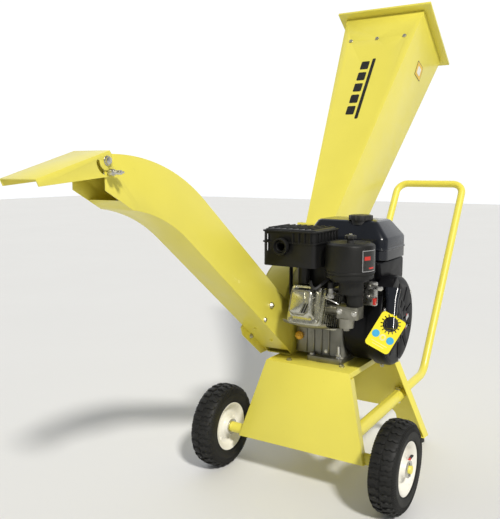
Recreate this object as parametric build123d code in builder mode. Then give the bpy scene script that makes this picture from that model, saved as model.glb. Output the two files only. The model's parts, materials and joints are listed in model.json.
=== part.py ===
from build123d import *
import math
import os

# Wood chipper on a two-wheeled stand. Millimetres, +Z up, +Y towards the push handle.
# The origin is on the ground, in the middle of the machine's length and width.

# ---------------------------------------------------------------- driving sizes
AXLE_Y = -133.1              # wheel axle, from the middle of the machine's length
FRAME_SHEET = 3.0            # pressed stand panels
BODY_SHEET = 2.0             # chute and hopper sheet
COVER_WALL = 2.5             # engine covers
SEAT = 0.25                  # gap left where one fixed piece lies on another

# wheels
TYRE_DIAMETER = 225.0
TYRE_WIDTH = 68.0
TRACK = 501.0
TYRE_WALL = 7.0
RIM_DIAMETER = 130.0
RIM_HALF_WIDTH = 29.0
RIM_SHEET = 2.6
RIM_BARREL_RADIUS = 55.4
HUB_RADIUS = 20.5
HUB_LENGTH = 61.0
BUSH_WALL = 5.0
AXLE_TUBE_RADIUS = 14.2
AXLE_STUB_RADIUS = 10.0
AXLE_PROUD = 8.5             # stub beyond the hub
SHAFT_CLEARANCE = 0.05       # radial, on every turning fit
SIDE_PLAY = 0.6              # axial, each side of a turning piece
WASHER_RADIUS = 20.7
WASHER_THICKNESS = 2.5
PIN_RADIUS = 1.6
VALVE_ANGLE = 12.0
VALVE_RADIUS = 4.2

# stand
DECK_Z = 313.0               # top of the engine deck
DECK_HALF_WIDTH = 119.0
DECK_FRONT = 17.0            # behind the axle
DECK_BACK = 327.0
DECK_LIP = 15.0
FRONT_FOOT_Z = 105.0
FRONT_FOOT_Y = -27.0
FRONT_HALF_WIDTH = 178.0
FRONT_FLANGE = 25.0
REAR_FOOT_Z = 20.0
REAR_FOOT_Y = 456.6
REAR_HALF_WIDTH = 187.7
REAR_FLANGE = 27.0
ARCH_TOP_Z = 100.0
ARCH_HALF_WIDTH = 95.0
ARCH_RADIUS = 34.0
FOOT_RADIUS = 15.0
FOOT_INSET = 21.0

# handle and its sleeves
HANDLE_HALF_WIDTH = 120.7
HANDLE_RADIUS = 12.5
SLEEVE_RADIUS = 17.0
SLEEVE_GAP = 0.6
LEG_PITCH = 1.74             # lower legs rise gently to the back
ARM_PITCH = 56.44            # upper legs
HANDLE_FRONT = 150.0
HANDLE_BEND = 596.0
HANDLE_BAR = 990.8
HANDLE_BEND_RADIUS = 60.0
HANDLE_BAR_RADIUS = 38.0

# rotor housing, seen along the crankshaft
CRANK_BEHIND_AXLE = 177.0
CRANK_ABOVE_DECK = 111.0
HOUSING_RIGHT = -79.0           # side towards the engine
HOUSING_WIDTH = 83.0
HOUSING_RADIUS = 139.0       # inside of the wrap
HOUSING_SHEET = 3.0
ROTOR_TIP_RADIUS = 98.0
ROTOR_DRUM_RADIUS = 70.0
ROTOR_WIDTH = 66.0
KNIFE_GAP = 4.0              # rotor tips to the anvil

# discharge chute: a straight run and one bend up to a level outlet
CHUTE_SLOPE = 37.6
CHUTE_DEPTH = 99.3
CHUTE_BEND_RADIUS = 346.0    # inside of the bend
CHUTE_AXIS_OFFSET = 39.5     # crankshaft above the chute's upper plate
CHUTE_BEND_BACK = 758.2      # crankshaft behind the bend's centre
CHUTE_MOUTH = 22.0           # level length past the bend
CHUTE_CHAMFER = 46.0
PIVOT_BELOW_TOP = 12.0
PIVOT_INSET = 3.0
CLAMP_RADIUS = 21.5
CLAMP_ANGLE = -72.7
SLOT_HALF_WIDTH = 4.3
SLOT_SWEEP = 100.0
DEFLECTOR_LENGTH = 171.0
DEFLECTOR_SLOPE = 16.3
DEFLECTOR_RISE = 18.0        # plate above the pivot
DEFLECTOR_LIP = 12.0
BOLT_RADIUS = 4.0

# feed hopper, along its own axis
HOPPER_SLOPE = 54.62
HOPPER_LENGTH = 846.0
HOPPER_MOUTH_WIDTH = 279.6
HOPPER_MOUTH_DEPTH = 239.4
HOPPER_NECK_DEPTH = 175.5
HOPPER_AXIS_INSET = 16.4     # crankshaft inside the front wall's line
THROAT_LENGTH = 259.5        # hopper's neck to the crankshaft's level
RIM_REACH = 25.0
RIM_LIP = 8.0
CURTAIN_DROP = 108.0
CURTAIN_LENGTH = 190.0
CURTAIN_THICKNESS = 5.0
CURTAIN_ROLL_RADIUS = 5.5
ROD_RADIUS = 2.5
SCREW_SPACING = 95.0
NECK_FLANGE = 18.0
GRIP_CLEARANCE = 4.0           # starter grip to the seat cut for it in the cover

# engine
ENGINE_BASE_X = 22.0
ENGINE_BASE_WIDTH = 100.0
ENGINE_BASE_FRONT = 69.0
ENGINE_BASE_DEPTH = 186.0
ENGINE_BASE_THICKNESS = 14.0
ENGINE_HOLE_X = 75.5
ENGINE_HOLE_Y = 162.0
CASE_LEFT = -75.0
CASE_RIGHT = 70.0
CASE_WALL = 6.0
CRANK_RADIUS = 12.5
CYLINDER_X = 12.0
CYLINDER_TILT = 18.0
CYLINDER_FIN = 96.0
CYLINDER_LENGTH = 112.0
FIN_COUNT = 9
FLYWHEEL_RADIUS = 86.0
RECOIL_FACE_X = 184.0
RECOIL_RADIUS = 117.0
BLOWER_RADIUS = 109.0
TANK_LEFT = -60.0
TANK_RIGHT = 165.0
TANK_FRONT = 115.0
TANK_DEPTH = 157.0
TANK_BOTTOM = 583.0
TANK_TOP = 679.0
CAP_RADIUS = 31.0
LOOSE_FIT = 0.5              # radial, where a piece only drops in
CLEANER_X = 118.0
CLEANER_Y = 10.0
CLEANER_RADIUS = 60.0
CLEANER_BOTTOM = 556.0
CLEANER_TOP = 641.0
CARD_WIDTH = 66.0
CARD_LENGTH = 92.0
CARD_DROP = 24.0             # card's middle below its hole
CARD_TURN = math.radians(30)
CARD_HOLE = 19.0

# ---------------------------------------------------------------- derived places
AXLE_Z = TYRE_DIAMETER / 2
WHEEL_X = TRACK / 2
HUB_END = WHEEL_X + HUB_LENGTH / 2
AXLE_END = HUB_END + AXLE_PROUD
CRANK_Y = AXLE_Y + CRANK_BEHIND_AXLE
CRANK_Z = DECK_Z + CRANK_ABOVE_DECK
HOUSING_CENTRE_X = HOUSING_RIGHT - HOUSING_WIDTH / 2
HOUSING_LEFT = HOUSING_RIGHT - HOUSING_WIDTH
HOUSING_OUTER = HOUSING_RADIUS + BODY_SHEET
PLATE_RIGHT = HOUSING_RIGHT - BODY_SHEET - SEAT
PLATE_LEFT = HOUSING_LEFT + BODY_SHEET + SEAT
INNER_RIGHT = PLATE_RIGHT - HOUSING_SHEET
INNER_LEFT = PLATE_LEFT + HOUSING_SHEET


def save(part, name):
    """Label one finished piece and write it."""
    part.label = name
    export_step(part, f"parts/{name}.step")


def side_plane(x):
    """Drawing plane across the machine: local x runs along +Y and local y along +Z."""
    return Plane(origin=(x, 0, 0), x_dir=(0, 1, 0), z_dir=(1, 0, 0))


def turning_plane(x, y, z):
    """Half-section plane of a piece turned about a line along X."""
    return Plane(origin=(x, y, z), x_dir=(1, 0, 0), z_dir=(0, -1, 0))


def turned(outline, x, y, z):
    """Piece turned about the line along X through (y, z); outline holds (x, radius) points."""
    with BuildPart() as body:
        with BuildSketch(turning_plane(x, y, z)):
            with BuildLine():
                Polyline(*outline, close=True)
            make_face()
        revolve(axis=Axis((x, y, z), (1, 0, 0)))
    return body.part


def rod(start, direction, radius, length, bore=0.0):
    """Round bar or tube from a point along a direction."""
    with BuildPart() as body:
        with BuildSketch(Plane(origin=start, z_dir=direction)):
            Circle(radius)
            if bore > 0:
                Circle(bore, mode=Mode.SUBTRACT)
        extrude(amount=length)
    return body.part


def bolt(point, outward, grip, radius=3.0, nut=True):
    """Hexagon bolt at a surface point: head outside, shank inwards through the grip, nut behind."""
    head = radius * 1.3
    face = Plane(origin=point, z_dir=outward)
    with BuildPart() as body:
        with BuildSketch(face.offset(SEAT)):
            RegularPolygon(radius * 1.85, 6)
        extrude(amount=head)
        with BuildSketch(face.offset(SEAT)):
            Circle(radius * 2.2)
        extrude(amount=radius * 0.3)
        with BuildSketch(face.offset(SEAT)):
            Circle(radius)
        extrude(amount=-(grip + 3 * SEAT + radius * 1.6))
        if nut:
            with BuildSketch(face.offset(-grip - SEAT)):
                RegularPolygon(radius * 1.85, 6)
            extrude(amount=-radius * 1.4)
    return body.part


def at_crank(x, radius, degrees):
    """Point at a polar place about the crankshaft; 0 degrees is straight back, 90 straight up."""
    turn = math.radians(degrees)
    return (x, CRANK_Y + radius * math.cos(turn), CRANK_Z + radius * math.sin(turn))


os.makedirs("parts", exist_ok=True)

# ---------------------------------------------------------------- wheels
axle_gap = AXLE_STUB_RADIUS + SHAFT_CLEARANCE
bush_radius = AXLE_STUB_RADIUS + BUSH_WALL
washer_inner_x = WHEEL_X - HUB_LENGTH / 2 - SIDE_PLAY - WASHER_THICKNESS
shoulder_x = washer_inner_x - SEAT
washer_outer_x = HUB_END + SIDE_PLAY
pin_x = washer_outer_x + WASHER_THICKNESS + PIN_RADIUS + SEAT

for side, name in ((-1, "left"), (1, "right")):
    wheel_x = side * WHEEL_X
    crown = TYRE_DIAMETER / 2
    half = TYRE_WIDTH / 2
    bead = RIM_HALF_WIDTH - RIM_SHEET - SEAT
    bead_radius = RIM_BARREL_RADIUS + SEAT
    wheel_plane = turning_plane(wheel_x, AXLE_Y, AXLE_Z)
    wheel_axis = Axis((wheel_x, AXLE_Y, AXLE_Z), (1, 0, 0))

    with BuildPart() as tyre:
        with BuildSketch(wheel_plane):
            with BuildLine():
                Polyline((-bead, bead_radius), (-bead, bead_radius + 9), (-half, bead_radius + 25), (-half, crown - 20))
                ThreePointArc((-half, crown - 20), (-half * 0.86, crown - 7), (-half * 0.6, crown - 2.5))
                ThreePointArc((-half * 0.6, crown - 2.5), (0, crown), (half * 0.6, crown - 2.5))
                ThreePointArc((half * 0.6, crown - 2.5), (half * 0.86, crown - 7), (half, crown - 20))
                Polyline((half, crown - 20), (half, bead_radius + 25), (bead, bead_radius + 9), (bead, bead_radius))
                Line((bead, bead_radius), (-bead, bead_radius))
            make_face()
            with BuildLine():
                Polyline(
                    (-bead + TYRE_WALL, bead_radius - 1),
                    (-half + TYRE_WALL, bead_radius + 26),
                    (-half + TYRE_WALL, crown - 22),
                    (-half * 0.5, crown - TYRE_WALL - 4),
                    (half * 0.5, crown - TYRE_WALL - 4),
                    (half - TYRE_WALL, crown - 22),
                    (half - TYRE_WALL, bead_radius + 26),
                    (bead - TYRE_WALL, bead_radius - 1),
                    close=True,
                )
            make_face(mode=Mode.SUBTRACT)
        revolve(axis=wheel_axis)
    save(tyre.part, f"{name}_tyre")

    barrel = RIM_BARREL_RADIUS - RIM_SHEET
    dish = side * 6.0
    with BuildPart() as rim:
        with BuildSketch(wheel_plane):
            with Locations((0, RIM_BARREL_RADIUS - RIM_SHEET / 2)):
                Rectangle(2 * RIM_HALF_WIDTH, RIM_SHEET)
            for edge in (-1, 1):
                with Locations((edge * (RIM_HALF_WIDTH - RIM_SHEET / 2), (barrel + RIM_DIAMETER / 2) / 2)):
                    Rectangle(RIM_SHEET, RIM_DIAMETER / 2 - barrel)
            with Locations((0, (bush_radius + HUB_RADIUS) / 2)):
                Rectangle(HUB_LENGTH, HUB_RADIUS - bush_radius)
            with BuildLine():
                Polyline(
                    (dish, barrel + 1),
                    (dish + side * 10, barrel - 12),
                    (dish + side * 10, HUB_RADIUS - 1),
                    (dish + side * (10 - RIM_SHEET), HUB_RADIUS - 1),
                    (dish + side * (10 - RIM_SHEET), barrel - 12),
                    (dish - side * RIM_SHEET, barrel + 1),
                    close=True,
                )
            make_face()
        revolve(axis=wheel_axis)
        valve_turn = math.radians(VALVE_ANGLE)
        valve_out = (0, math.cos(valve_turn), math.sin(valve_turn))
        valve_x = wheel_x + side * (RIM_HALF_WIDTH - 8)
        with BuildSketch(Plane(origin=(valve_x, AXLE_Y, AXLE_Z), z_dir=valve_out).offset(barrel - 3)):
            Circle(VALVE_RADIUS + SEAT)
        extrude(amount=RIM_SHEET + 6, mode=Mode.SUBTRACT)
    save(rim.part, f"{name}_rim")

    with BuildPart() as bush:
        with BuildSketch(wheel_plane):
            with Locations((0, (axle_gap + bush_radius) / 2)):
                Rectangle(HUB_LENGTH, bush_radius - axle_gap)
        revolve(axis=wheel_axis)
    save(bush.part, f"{name}_hub_bush")

    stem_plane = Plane(origin=(valve_x, AXLE_Y, AXLE_Z), z_dir=valve_out)
    with BuildPart() as valve:
        with BuildSketch(stem_plane.offset(RIM_BARREL_RADIUS)):
            Circle(VALVE_RADIUS)
        extrude(amount=-14)
        with BuildSketch(stem_plane.offset(RIM_BARREL_RADIUS - 14)):
            Circle(VALVE_RADIUS * 0.72)
        extrude(amount=-13)
    save(valve.part, f"{name}_valve")

with BuildPart() as axle:
    with BuildSketch(turning_plane(0, AXLE_Y, AXLE_Z)):
        with Locations((0, AXLE_TUBE_RADIUS / 2)):
            Rectangle(2 * shoulder_x, AXLE_TUBE_RADIUS)
        with Locations((0, AXLE_STUB_RADIUS / 2)):
            Rectangle(2 * AXLE_END, AXLE_STUB_RADIUS)
    revolve(axis=Axis((0, AXLE_Y, AXLE_Z), (1, 0, 0)))
    for side in (-1, 1):
        with BuildSketch(Plane.XY.offset(AXLE_Z - AXLE_STUB_RADIUS - 1)):
            with Locations((side * pin_x, AXLE_Y)):
                Circle(PIN_RADIUS + SHAFT_CLEARANCE)
        extrude(amount=2 * AXLE_STUB_RADIUS + 2, mode=Mode.SUBTRACT)
save(axle.part, "axle")

washers = []
pins = []
for side in (-1, 1):
    for start in (washer_inner_x, washer_outer_x):
        washers.append(
            rod((side * start, AXLE_Y, AXLE_Z), (side, 0, 0), WASHER_RADIUS, WASHER_THICKNESS, axle_gap + SEAT)
        )
    pins.append(rod((side * pin_x, AXLE_Y, AXLE_Z - 17), (0, 0, 1), PIN_RADIUS, 34))
with BuildPart() as axle_washers:
    add(washers)
save(axle_washers.part, "axle_washers")
with BuildPart() as axle_pins:
    add(pins)
save(axle_pins.part, "axle_pins")

# ---------------------------------------------------------------- stand panels
front_run = DECK_FRONT - FRONT_FOOT_Y
front_rise = DECK_Z - FRONT_FOOT_Z
front_height = math.hypot(front_run, front_rise)
front_plane = Plane(
    origin=(0, AXLE_Y + FRONT_FOOT_Y, FRONT_FOOT_Z),
    x_dir=(1, 0, 0),
    z_dir=(0, -front_rise, front_run),
)
with BuildPart() as front_panel:
    with BuildSketch(front_plane):
        with BuildLine():
            Polyline(
                (-FRONT_HALF_WIDTH, 0),
                (FRONT_HALF_WIDTH, 0),
                (DECK_HALF_WIDTH, front_height),
                (-DECK_HALF_WIDTH, front_height),
                close=True,
            )
        make_face()
    extrude(amount=-FRONT_FLANGE)
    with BuildSketch(front_plane.offset(-FRAME_SHEET)):
        with BuildLine():
            Polyline(
                (-FRONT_HALF_WIDTH + FRAME_SHEET, -1),
                (FRONT_HALF_WIDTH - FRAME_SHEET, -1),
                (DECK_HALF_WIDTH - FRAME_SHEET, front_height + 1),
                (-DECK_HALF_WIDTH + FRAME_SHEET, front_height + 1),
                close=True,
            )
        make_face()
    extrude(amount=-FRONT_FLANGE, mode=Mode.SUBTRACT)
    with BuildSketch(side_plane(-FRONT_HALF_WIDTH - 5)):
        with Locations((AXLE_Y, AXLE_Z)):
            Circle(AXLE_TUBE_RADIUS + SEAT)
    extrude(amount=2 * FRONT_HALF_WIDTH + 10, mode=Mode.SUBTRACT)
    # the flanges' upper ends are relieved for the deck
    with BuildSketch(Plane.XY.offset(DECK_Z - FRAME_SHEET - SEAT)):
        with Locations((0, AXLE_Y + DECK_FRONT + 40)):
            Rectangle(2 * FRONT_HALF_WIDTH, 80)
    extrude(amount=40, mode=Mode.SUBTRACT)
    with BuildSketch(Plane.XY.offset(DECK_Z - DECK_LIP - SEAT)):
        for side in (-1, 1):
            with Locations((side * DECK_HALF_WIDTH, AXLE_Y + DECK_FRONT + 40)):
                Rectangle(2 * FRAME_SHEET + 4, 80 - 2 * SEAT)
    extrude(amount=40, mode=Mode.SUBTRACT)
save(front_panel.part, "front_panel")

deck_length = DECK_BACK - DECK_FRONT
deck_middle = AXLE_Y + (DECK_FRONT + DECK_BACK) / 2
engine_middle = AXLE_Y + ENGINE_BASE_FRONT + ENGINE_BASE_DEPTH / 2
with BuildPart() as engine_deck:
    with BuildSketch(Plane.XY.offset(DECK_Z)):
        with Locations((0, deck_middle + SEAT / 2)):
            Rectangle(2 * DECK_HALF_WIDTH, deck_length - SEAT)
    extrude(amount=-DECK_LIP)
    with BuildSketch(Plane.XY.offset(DECK_Z - FRAME_SHEET)):
        with Locations((0, deck_middle)):
            Rectangle(2 * (DECK_HALF_WIDTH - FRAME_SHEET), deck_length + 2)
    extrude(amount=-DECK_LIP, mode=Mode.SUBTRACT)
    with BuildSketch(Plane.XY.offset(DECK_Z)):
        with Locations((ENGINE_BASE_X, engine_middle)):
            with GridLocations(ENGINE_HOLE_X, ENGINE_HOLE_Y, 2, 2):
                Circle(BOLT_RADIUS + SEAT)
    extrude(amount=-2 * FRAME_SHEET, mode=Mode.SUBTRACT)
save(engine_deck.part, "engine_deck")

rear_run = REAR_FOOT_Y - DECK_BACK
rear_rise = DECK_Z - REAR_FOOT_Z
rear_height = math.hypot(rear_run, rear_rise)
rear_plane = Plane(
    origin=(0, AXLE_Y + REAR_FOOT_Y, REAR_FOOT_Z),
    x_dir=(1, 0, 0),
    z_dir=(0, -rear_rise, -rear_run),
)
sleeve_z = AXLE_Z + AXLE_TUBE_RADIUS + SLEEVE_RADIUS + 4 * SEAT
leg_turn = math.radians(LEG_PITCH)


def leg_height(y):
    """Height of the lower legs' centre line at a distance behind the axle."""
    return sleeve_z + (y - DECK_FRONT) * math.tan(leg_turn)


rear_flare = REAR_FLANGE * (REAR_HALF_WIDTH - DECK_HALF_WIDTH) / rear_height
foot_x = REAR_HALF_WIDTH - FOOT_INSET
foot_y = AXLE_Y + REAR_FOOT_Y - FOOT_RADIUS - 1.5
arch_height = (ARCH_TOP_Z - REAR_FOOT_Z) * rear_height / rear_rise
sleeve_back = REAR_FOOT_Y - (leg_height(DECK_BACK) - REAR_FOOT_Z) * rear_run / rear_rise
with BuildPart() as rear_panel:
    with BuildSketch(rear_plane):
        with BuildLine():
            Polyline(
                (-REAR_HALF_WIDTH - rear_flare, -REAR_FLANGE),
                (REAR_HALF_WIDTH + rear_flare, -REAR_FLANGE),
                (DECK_HALF_WIDTH, rear_height),
                (-DECK_HALF_WIDTH, rear_height),
                close=True,
            )
        make_face()
    extrude(amount=REAR_FLANGE)
    with BuildSketch(rear_plane.offset(FRAME_SHEET)):
        with BuildLine():
            Polyline(
                (-REAR_HALF_WIDTH - rear_flare + FRAME_SHEET, -REAR_FLANGE - 1),
                (REAR_HALF_WIDTH + rear_flare - FRAME_SHEET, -REAR_FLANGE - 1),
                (DECK_HALF_WIDTH - FRAME_SHEET, rear_height + 1),
                (-DECK_HALF_WIDTH + FRAME_SHEET, rear_height + 1),
                close=True,
            )
        make_face()
    extrude(amount=REAR_FLANGE, mode=Mode.SUBTRACT)
    # both legs end level, each on a folded pad over its foot
    with BuildSketch(Plane.XY.offset(REAR_FOOT_Z - FRAME_SHEET)):
        with Locations((0, AXLE_Y + REAR_FOOT_Y)):
            Rectangle(3 * REAR_HALF_WIDTH, 4 * REAR_FLANGE)
    extrude(amount=-2 * REAR_FLANGE, mode=Mode.SUBTRACT)
    with BuildSketch(Plane.XY.offset(REAR_FOOT_Z - FRAME_SHEET)):
        for side in (-1, 1):
            with Locations((side * foot_x, foot_y)):
                Rectangle(2 * FOOT_INSET - FRAME_SHEET, 2 * FOOT_RADIUS)
    extrude(amount=FRAME_SHEET)
    with BuildSketch(rear_plane.offset(-1)) as arch:
        with Locations((0, arch_height / 2 - ARCH_RADIUS / 2)):
            RectangleRounded(2 * ARCH_HALF_WIDTH, arch_height + ARCH_RADIUS, ARCH_RADIUS)
        with Locations((0, (arch_height - ARCH_RADIUS) / 2 - 10)):
            Rectangle(2 * ARCH_HALF_WIDTH, arch_height - ARCH_RADIUS + 20)
    extrude(amount=REAR_FLANGE + 2, mode=Mode.SUBTRACT)
    # the flanges' tops are cut level under the deck
    with BuildSketch(Plane.XY.offset(DECK_Z - DECK_LIP - SEAT)):
        with Locations((0, AXLE_Y + DECK_BACK - 40 + SEAT)):
            Rectangle(2 * REAR_HALF_WIDTH, 80)
    extrude(amount=60, mode=Mode.SUBTRACT)
    with BuildSketch(Plane.XZ.offset(-(AXLE_Y + sleeve_back - 60))):
        for side in (-1, 1):
            with Locations((side * HANDLE_HALF_WIDTH, leg_height(sleeve_back))):
                Circle(SLEEVE_RADIUS + SEAT)
    extrude(amount=-120, mode=Mode.SUBTRACT)
save(rear_panel.part, "rear_panel")

# ---------------------------------------------------------------- handle
sleeve_front = DECK_FRONT - 26.0
sleeve_end = sleeve_back + 7.0
leg_direction = (0, math.cos(leg_turn), math.sin(leg_turn))
clamp_y = sleeve_back - 26.0


def leg_point(x, y):
    """Point on a lower leg's centre line."""
    return (x, AXLE_Y + y, leg_height(y))


sleeve_length = (sleeve_end - sleeve_front) / math.cos(leg_turn)
with BuildPart() as handle_sleeves:
    for side in (-1, 1):
        with BuildSketch(Plane(origin=leg_point(side * HANDLE_HALF_WIDTH, sleeve_front), z_dir=leg_direction)):
            Circle(SLEEVE_RADIUS)
            Circle(HANDLE_RADIUS + SLEEVE_GAP, mode=Mode.SUBTRACT)
        extrude(amount=sleeve_length)
        with BuildSketch(Plane.XY.offset(leg_height(clamp_y) - 60)):
            with Locations((side * HANDLE_HALF_WIDTH, AXLE_Y + clamp_y)):
                Circle(BOLT_RADIUS + SEAT)
        extrude(amount=120, mode=Mode.SUBTRACT)
save(handle_sleeves.part, "handle_sleeves")

arm_turn = math.radians(ARM_PITCH)
bar_height = leg_height(HANDLE_BEND) + (HANDLE_BAR - HANDLE_BEND) * math.tan(arm_turn)
handle_path = [
    leg_point(-HANDLE_HALF_WIDTH, HANDLE_FRONT),
    leg_point(-HANDLE_HALF_WIDTH, HANDLE_BEND),
    (-HANDLE_HALF_WIDTH, AXLE_Y + HANDLE_BAR, bar_height),
    (HANDLE_HALF_WIDTH, AXLE_Y + HANDLE_BAR, bar_height),
    leg_point(HANDLE_HALF_WIDTH, HANDLE_BEND),
    leg_point(HANDLE_HALF_WIDTH, HANDLE_FRONT),
]
with BuildPart() as handle:
    with BuildLine() as handle_line:
        FilletPolyline(
            *handle_path,
            radius=[HANDLE_BEND_RADIUS, HANDLE_BAR_RADIUS, HANDLE_BAR_RADIUS, HANDLE_BEND_RADIUS],
        )
    with BuildSketch(Plane(origin=handle_path[0], z_dir=leg_direction)):
        Circle(HANDLE_RADIUS)
        Circle(HANDLE_RADIUS - BODY_SHEET, mode=Mode.SUBTRACT)
    sweep(path=handle_line.line)
    for side in (-1, 1):
        with BuildSketch(Plane.XY.offset(leg_height(clamp_y) - 60)):
            with Locations((side * HANDLE_HALF_WIDTH, AXLE_Y + clamp_y)):
                Circle(BOLT_RADIUS + SEAT)
        extrude(amount=120, mode=Mode.SUBTRACT)
save(handle.part, "handle")

# ---------------------------------------------------------------- feet and frame bolts
with BuildPart() as rubber_feet:
    for side in (-1, 1):
        with BuildSketch(Plane.XY):
            with Locations((side * foot_x, foot_y)):
                Circle(FOOT_RADIUS)
        extrude(amount=REAR_FOOT_Z - SEAT - FRAME_SHEET, taper=4)
save(rubber_feet.part, "rubber_feet")

frame_bolt_list = []
for side in (-1, 1):
    frame_bolt_list.append(
        bolt(
            (side * HANDLE_HALF_WIDTH, AXLE_Y + clamp_y, leg_height(clamp_y) + SLEEVE_RADIUS + SEAT),
            (0, 0, 1),
            2 * (SLEEVE_RADIUS + SEAT),
            BOLT_RADIUS,
        )
    )
with BuildPart() as handle_bolts:
    add(frame_bolt_list)
save(handle_bolts.part, "handle_bolts")

# ---------------------------------------------------------------- chute profile
chute_turn = math.radians(CHUTE_SLOPE)
bend_y = CRANK_Y - CHUTE_BEND_BACK
bend_outer = CHUTE_BEND_RADIUS + CHUTE_DEPTH
outer_crank = bend_outer + CHUTE_AXIS_OFFSET
bend_z = CRANK_Z - (outer_crank - CHUTE_BEND_BACK * math.sin(chute_turn)) / math.cos(chute_turn)
mouth_y = bend_y - CHUTE_MOUTH


def chute_point(radius, along):
    """Point on the straight run: a distance from the bend's centre, and along the run from the bend."""
    across = (math.sin(chute_turn), math.cos(chute_turn))
    return (
        bend_y + radius * across[0] + along * across[1],
        bend_z + radius * across[1] - along * across[0],
    )


def chute_outline(inset, low_upper, low_lower):
    """Chute side outline, drawn a sheet's thickness inside where inset is positive."""
    outer = bend_outer - inset
    inner = CHUTE_BEND_RADIUS + inset
    middle = chute_turn / 2
    chamfer = CHUTE_CHAMFER
    with BuildLine() as outline:
        Line((mouth_y, bend_z + outer), (bend_y, bend_z + outer))
        ThreePointArc(
            (bend_y, bend_z + outer),
            (bend_y + outer * math.sin(middle), bend_z + outer * math.cos(middle)),
            chute_point(outer, 0),
        )
        Polyline(chute_point(outer, 0), chute_point(outer, low_upper), chute_point(inner, low_lower), chute_point(inner, 0))
        ThreePointArc(
            chute_point(inner, 0),
            (bend_y + inner * math.sin(middle), bend_z + inner * math.cos(middle)),
            (bend_y + inner * math.sin(0.14), bend_z + inner * math.cos(0.14)),
        )
        Polyline(
            (bend_y + inner * math.sin(0.14), bend_z + inner * math.cos(0.14)),
            (mouth_y, bend_z + inner + chamfer * 0.76),
            (mouth_y, bend_z + outer),
        )
    return outline.line


run_to_crank = (CHUTE_BEND_BACK - outer_crank * math.sin(chute_turn)) / math.cos(chute_turn)
upper_end = run_to_crank - math.sqrt(HOUSING_OUTER**2 - CHUTE_AXIS_OFFSET**2)
lower_end = run_to_crank - 9.0
spigot_start = lower_end - 150.0
chute_upper_end = upper_end + 20.0

with BuildPart() as discharge_chute:
    with BuildSketch(side_plane(HOUSING_LEFT)):
        add(chute_outline(0, chute_upper_end, lower_end))
        make_face()
    extrude(amount=HOUSING_WIDTH)
    with BuildSketch(side_plane(HOUSING_LEFT + BODY_SHEET)):
        add(chute_outline(BODY_SHEET, run_to_crank + 60, run_to_crank + 60))
        make_face()
    extrude(amount=HOUSING_WIDTH - 2 * BODY_SHEET, mode=Mode.SUBTRACT)
    # the mouth is open and the lower end clears the wrap and the deck
    with BuildSketch(side_plane(HOUSING_LEFT + BODY_SHEET)):
        with Locations((mouth_y, bend_z + bend_outer - CHUTE_DEPTH / 2)):
            Rectangle(3, CHUTE_DEPTH - 2 * BODY_SHEET)
        with BuildLine():
            Polyline(
                (mouth_y - 5, bend_z + CHUTE_BEND_RADIUS - 5),
                (mouth_y - 5, bend_z + CHUTE_BEND_RADIUS + CHUTE_CHAMFER),
                (bend_y + 37, bend_z + CHUTE_BEND_RADIUS + BODY_SHEET),
                (bend_y + 37, bend_z + CHUTE_BEND_RADIUS - 12),
                close=True,
            )
        make_face()
    extrude(amount=HOUSING_WIDTH - 2 * BODY_SHEET, mode=Mode.SUBTRACT)
    with BuildSketch(side_plane(HOUSING_LEFT - 5)):
        with Locations((CRANK_Y, DECK_Z + SEAT - 100)):
            Rectangle(600, 200)
    extrude(amount=HOUSING_WIDTH + 10, mode=Mode.SUBTRACT)
    with BuildSketch(side_plane(HOUSING_LEFT + BODY_SHEET)):
        with Locations((CRANK_Y, CRANK_Z)):
            Circle(HOUSING_OUTER + SEAT)
    extrude(amount=HOUSING_WIDTH - 2 * BODY_SHEET, mode=Mode.SUBTRACT)
    pivot_y = mouth_y + PIVOT_INSET
    pivot_z = bend_z + bend_outer - PIVOT_BELOW_TOP
    clamp_turn = math.radians(CLAMP_ANGLE)
    stud_y = pivot_y + CLAMP_RADIUS * math.cos(clamp_turn)
    stud_z = pivot_z + CLAMP_RADIUS * math.sin(clamp_turn)
    with BuildSketch(side_plane(HOUSING_LEFT - 5)):
        with Locations((pivot_y, pivot_z), (stud_y, stud_z)):
            Circle(BOLT_RADIUS + SHAFT_CLEARANCE)
    extrude(amount=HOUSING_WIDTH + 10, mode=Mode.SUBTRACT)
save(discharge_chute.part, "discharge_chute")

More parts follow.
